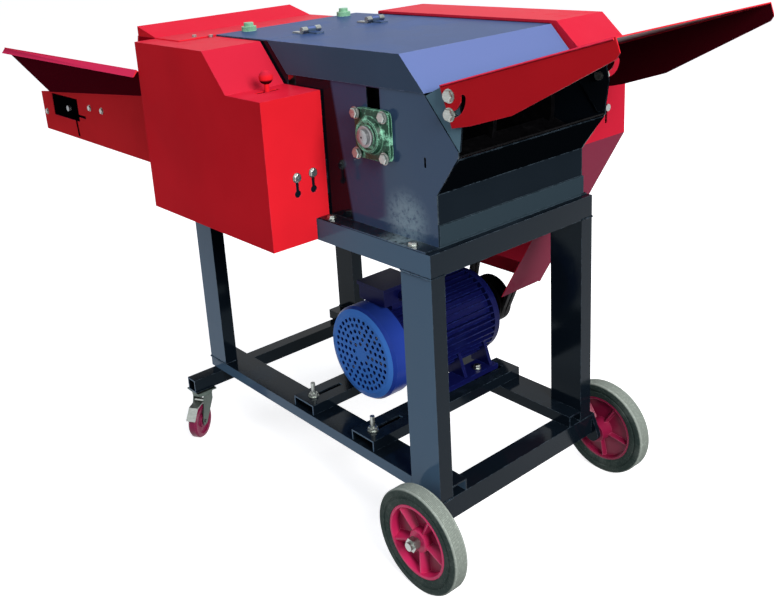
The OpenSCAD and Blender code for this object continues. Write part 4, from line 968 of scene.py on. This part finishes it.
def edged_sheet(bm, outline, y, free_edges, thick):
    """A plate in X and Z at a depth y, with beads along the named edges of its outline."""
    near = [bm.verts.new(at(x, y, z)) for x, z in outline]
    far = [bm.verts.new(at(x, y + thick, z)) for x, z in outline]
    bm.faces.new(near)
    bm.faces.new(list(reversed(far)))
    corners = len(outline)
    for i in range(corners):
        k = (i + 1) % corners
        bm.faces.new((near[i], far[i], far[k], near[k]))
    for i in free_edges:
        (x0, z0), (x1, z1) = outline[i], outline[(i + 1) % corners]
        rolled_bead(bm, at(x0, y + SHEET / 2, z0), at(x1, y + SHEET / 2, z1))


def small_sheets(name, outline, depths, finish, free_edges=(), thick=SHEET):
    bm = bmesh.new()
    for y in depths:
        edged_sheet(bm, outline, y, free_edges, thick)
    finish_piece(name, mesh_of(bm, name), finish, "frame")


print("sheet helpers ready")

# %% [markdown]
# A skirt in the red painted as shade closes the end of the feed hood, a flange closes the guard beside
# the cover, shields close the slots of the belt tighteners beside a thin black strip, and a small tray
# hangs beneath each slot of the motor's rails, so that nobody looks through them.

# %% Small sheets
SKIRT = [(-66.0, 1195.0), (-72.0, 1176.0), (29.0, 1176.0), (29.0, 1195.0)]
FLANGE = [(868.0, 1188.0), (880.0, 1201.0), (893.0, 1202.0), (961.0, 1138.0), (961.0, 1104.0),
          (930.0, 1104.0)]
SHIELD = [(-748.0, 858.0), (-678.0, 858.0), (-678.0, 884.0), (-748.0, 884.0)]
STRAP = [(-774.0, 862.0), (-764.0, 862.0), (-755.0, 797.0), (-765.0, 797.0)]
HOOD_NEAR, GUARD_INNER, TROUGH_NEAR, TROUGH_FAR = -72.0, 536.2, 0.0, 570.0
SHIELD_IN, STRAP_OUT = 3.2, 1.6
SLOT_LONG, SLOT_STARTS = 148.0, (10.0, 392.0)
TRAY_HALF, TRAY_WALL, TRAY_TOP, TRAY_FLOOR = 13.0, 2.0, 235.6, 226.0

small_sheets("hood_skirt", SKIRT, [HOOD_NEAR], shaded_red, [0, 1])
small_sheets("guard_flange", FLANGE, [GUARD_INNER], guard_red)
small_sheets("slot_shields", SHIELD, [TROUGH_NEAR + SHIELD_IN, TROUGH_FAR - SHIELD_IN - SHEET],
             shaded_iron)
# A thin black strip runs down from each tightener.
small_sheets("tightener_straps", STRAP, [TROUGH_NEAR - STRAP_OUT, TROUGH_FAR + STRAP_OUT - SHEET],
             shaded_iron)
for rail, x in (("feed", 470.0), ("discharge", 715.0)):
    inner, floor_top = TRAY_HALF - TRAY_WALL, TRAY_FLOOR + TRAY_WALL
    tray = [(x - TRAY_HALF, TRAY_TOP), (x - TRAY_HALF, TRAY_FLOOR), (x + TRAY_HALF, TRAY_FLOOR),
            (x + TRAY_HALF, TRAY_TOP), (x + inner, TRAY_TOP), (x + inner, floor_top),
            (x - inner, floor_top), (x - inner, TRAY_TOP)]
    small_sheets("slot_tray_" + rail, tray, SLOT_STARTS, shaded_iron, thick=SLOT_LONG)

# %% [markdown]
# The discharge hood tilts up from the mouth. A bead along the top of each cheek stiffens it, and
# rides on the hood, so that it swings with it.

# %% Beads of the discharge hood
HOOD_TILT, HOOD_LENGTH, BEAD_INSET = math.radians(16.2), 427.0, 4.0
HOOD_START = Vector((1002.0, 0.0, 1143.0))
CHEEKS = (36.6, 533.4)
along_hood = Vector((math.cos(HOOD_TILT), 0.0, math.sin(HOOD_TILT)))
off_hood = Vector((-math.sin(HOOD_TILT), 0.0, math.cos(HOOD_TILT)))
bm = bmesh.new()
for cheek in CHEEKS:
    bead_start = HOOD_START + along_hood * BEAD_INSET - off_hood * BEAD_R + Vector((0.0, cheek, 0.0))
    bead_end = bead_start + along_hood * (HOOD_LENGTH - 2 * BEAD_INSET)
    rolled_bead(bm, at(*bead_start), at(*bead_end))
finish_piece("hood_beads", mesh_of(bm, "hood_beads"), trough_red, "hood")

# %% [markdown]
# The sides of the trough are folded: a wall, a wing that leans out, and a lip along the wing's edge.
# The solid's lip hangs straight down. On a press brake it comes out as a slope, which catches the
# light, so a merged copy of each solid has the top of its lip drawn in.

# %% Folded trough sides
LIP_TOP, LIP_LEAN, LIP_THICK = 1104.0, 12.0, 4.0
MERGE_DISTANCE = 0.00002
for side, inward in INWARD.items():
    node = "trough_side_" + side
    outer = outer_face(node, side)
    bm = bmesh.new()
    bm.from_mesh(nodes[node].data)
    bmesh.ops.remove_doubles(bm, verts=bm.verts, dist=MERGE_DISTANCE)
    moved = [v for v in bm.verts if abs(v.co.y - outer) < LIP_THICK / 1000 and v.co.z > LIP_TOP / 1000]
    for v in moved:
        v.co.y += inward * LIP_LEAN / 1000
    finish_piece("folded_trough_side_" + side, mesh_of(bm, "folded_trough_side_" + side), trough_red,
                 "frame", [node], crease=20)
    print("lip points drawn in:", len(moved))

# %% [markdown]
# A product photograph stands on white. To the camera, and to anything that mirrors it, the floor
# and the world are white paper; for the light that bounces off it the floor is a quiet grey, as if
# dark cloth lay outside the picture. A diffuse part under the white keeps the soft shadow.

# %% Floor
FLOOR_HALF = 30.0
FLOOR_BOUNCE, FLOOR_SEEN, FLOOR_GLOW = (0.12, 0.12, 0.13, 1.0), (0.80, 0.80, 0.80, 1.0), 0.72
PAPER_WHITE = (1.0, 1.0, 1.0, 1.0)


def seen_directly(tree):
    """One where a ray comes from the camera, a mirror or glass, and nought for bounced light."""
    path = tree.nodes.new("ShaderNodeLightPath")
    either = path.outputs["Is Camera Ray"]
    for other in ("Is Glossy Ray", "Is Transmission Ray"):
        more = tree.nodes.new("ShaderNodeMath")
        more.operation = "MAXIMUM"
        tree.links.new(either, more.inputs[0])
        tree.links.new(path.outputs[other], more.inputs[1])
        either = more.outputs[0]
    return either


floor_corners = [(-1, -1), (1, -1), (1, 1), (-1, 1)]
floor_mesh = bpy.data.meshes.new("studio_floor")
floor_mesh.from_pydata([(x * FLOOR_HALF, y * FLOOR_HALF, 0) for x, y in floor_corners], [], [(0, 1, 2, 3)])
floor = bpy.data.objects.new("studio_floor", floor_mesh)
bpy.context.collection.objects.link(floor)
paper_floor = Finish("pale_floor")
direct = seen_directly(paper_floor.tree)
paper_floor.shade(Base_Color=paper_floor.mix(direct, FLOOR_BOUNCE, FLOOR_SEEN))
paper_floor.shade(Roughness=0.9, Specular_IOR_Level=0.0, Emission_Color=PAPER_WHITE)
paper_floor.shade(Emission_Strength=paper_floor.reckon("MULTIPLY", direct, FLOOR_GLOW))
floor_mesh.materials.append(paper_floor.mat)
print("floor laid")

# %% [markdown]
# The world is a dim blue sky for the light that falls on the machine, and white paper for the
# camera and for mirrors. Four soft lamps stay at a plain level: a strong one over the discharge
# end, weaker ones above, in front and behind.

# %% World and lamps
SKY_BLUE, SKY_STRENGTH = (0.82, 0.88, 1.0, 1.0), 0.42
LAMPS = [
    ("key_lamp", (4.6, -0.9, 3.0), (0.2, 0.0, 0.7), (2.0, 2.0), 225, (1.0, 0.97, 0.96)),
    ("top_lamp", (0.2, 0.4, 4.4), (0.0, 0.0, 0.8), (3.0, 2.4), 36, (0.92, 0.95, 1.0)),
    ("fill_lamp", (-1.2, -4.6, 2.2), (0.0, 0.0, 0.7), (2.6, 2.0), 17, (0.95, 0.97, 1.0)),
    ("back_lamp", (-0.4, 4.8, 2.6), (0.0, 0.0, 0.7), (2.4, 1.6), 80, (1.0, 0.98, 0.96)),
]

world = bpy.data.worlds.new("studio_world")
bpy.context.scene.world = world
world.use_nodes = True
air = world.node_tree
sky = air.nodes["Background"]
sky.inputs["Color"].default_value = SKY_BLUE
sky.inputs["Strength"].default_value = SKY_STRENGTH
paper = air.nodes.new("ShaderNodeBackground")
paper.inputs["Color"].default_value = PAPER_WHITE
paper.inputs["Strength"].default_value = 1.0
pick = air.nodes.new("ShaderNodeMixShader")
air.links.new(seen_directly(air), pick.inputs["Fac"])
air.links.new(sky.outputs[0], pick.inputs[1])
air.links.new(paper.outputs[0], pick.inputs[2])
air.links.new(pick.outputs[0], air.nodes["World Output"].inputs["Surface"])

for name, place, aim_at, size, watts, tint in LAMPS:
    light = bpy.data.lights.new(name, "AREA")
    light.shape = "RECTANGLE"
    light.size, light.size_y = size
    light.energy = watts
    light.color = tint
    lamp = bpy.data.objects.new(name, light)
    lamp.location = place
    lamp.rotation_euler = (Vector(aim_at) - Vector(place)).to_track_quat("-Z", "Y").to_euler()
    bpy.context.collection.objects.link(lamp)
bpy.context.scene.view_settings.view_transform = "Standard"
print("studio ready, lamps:", len(LAMPS))
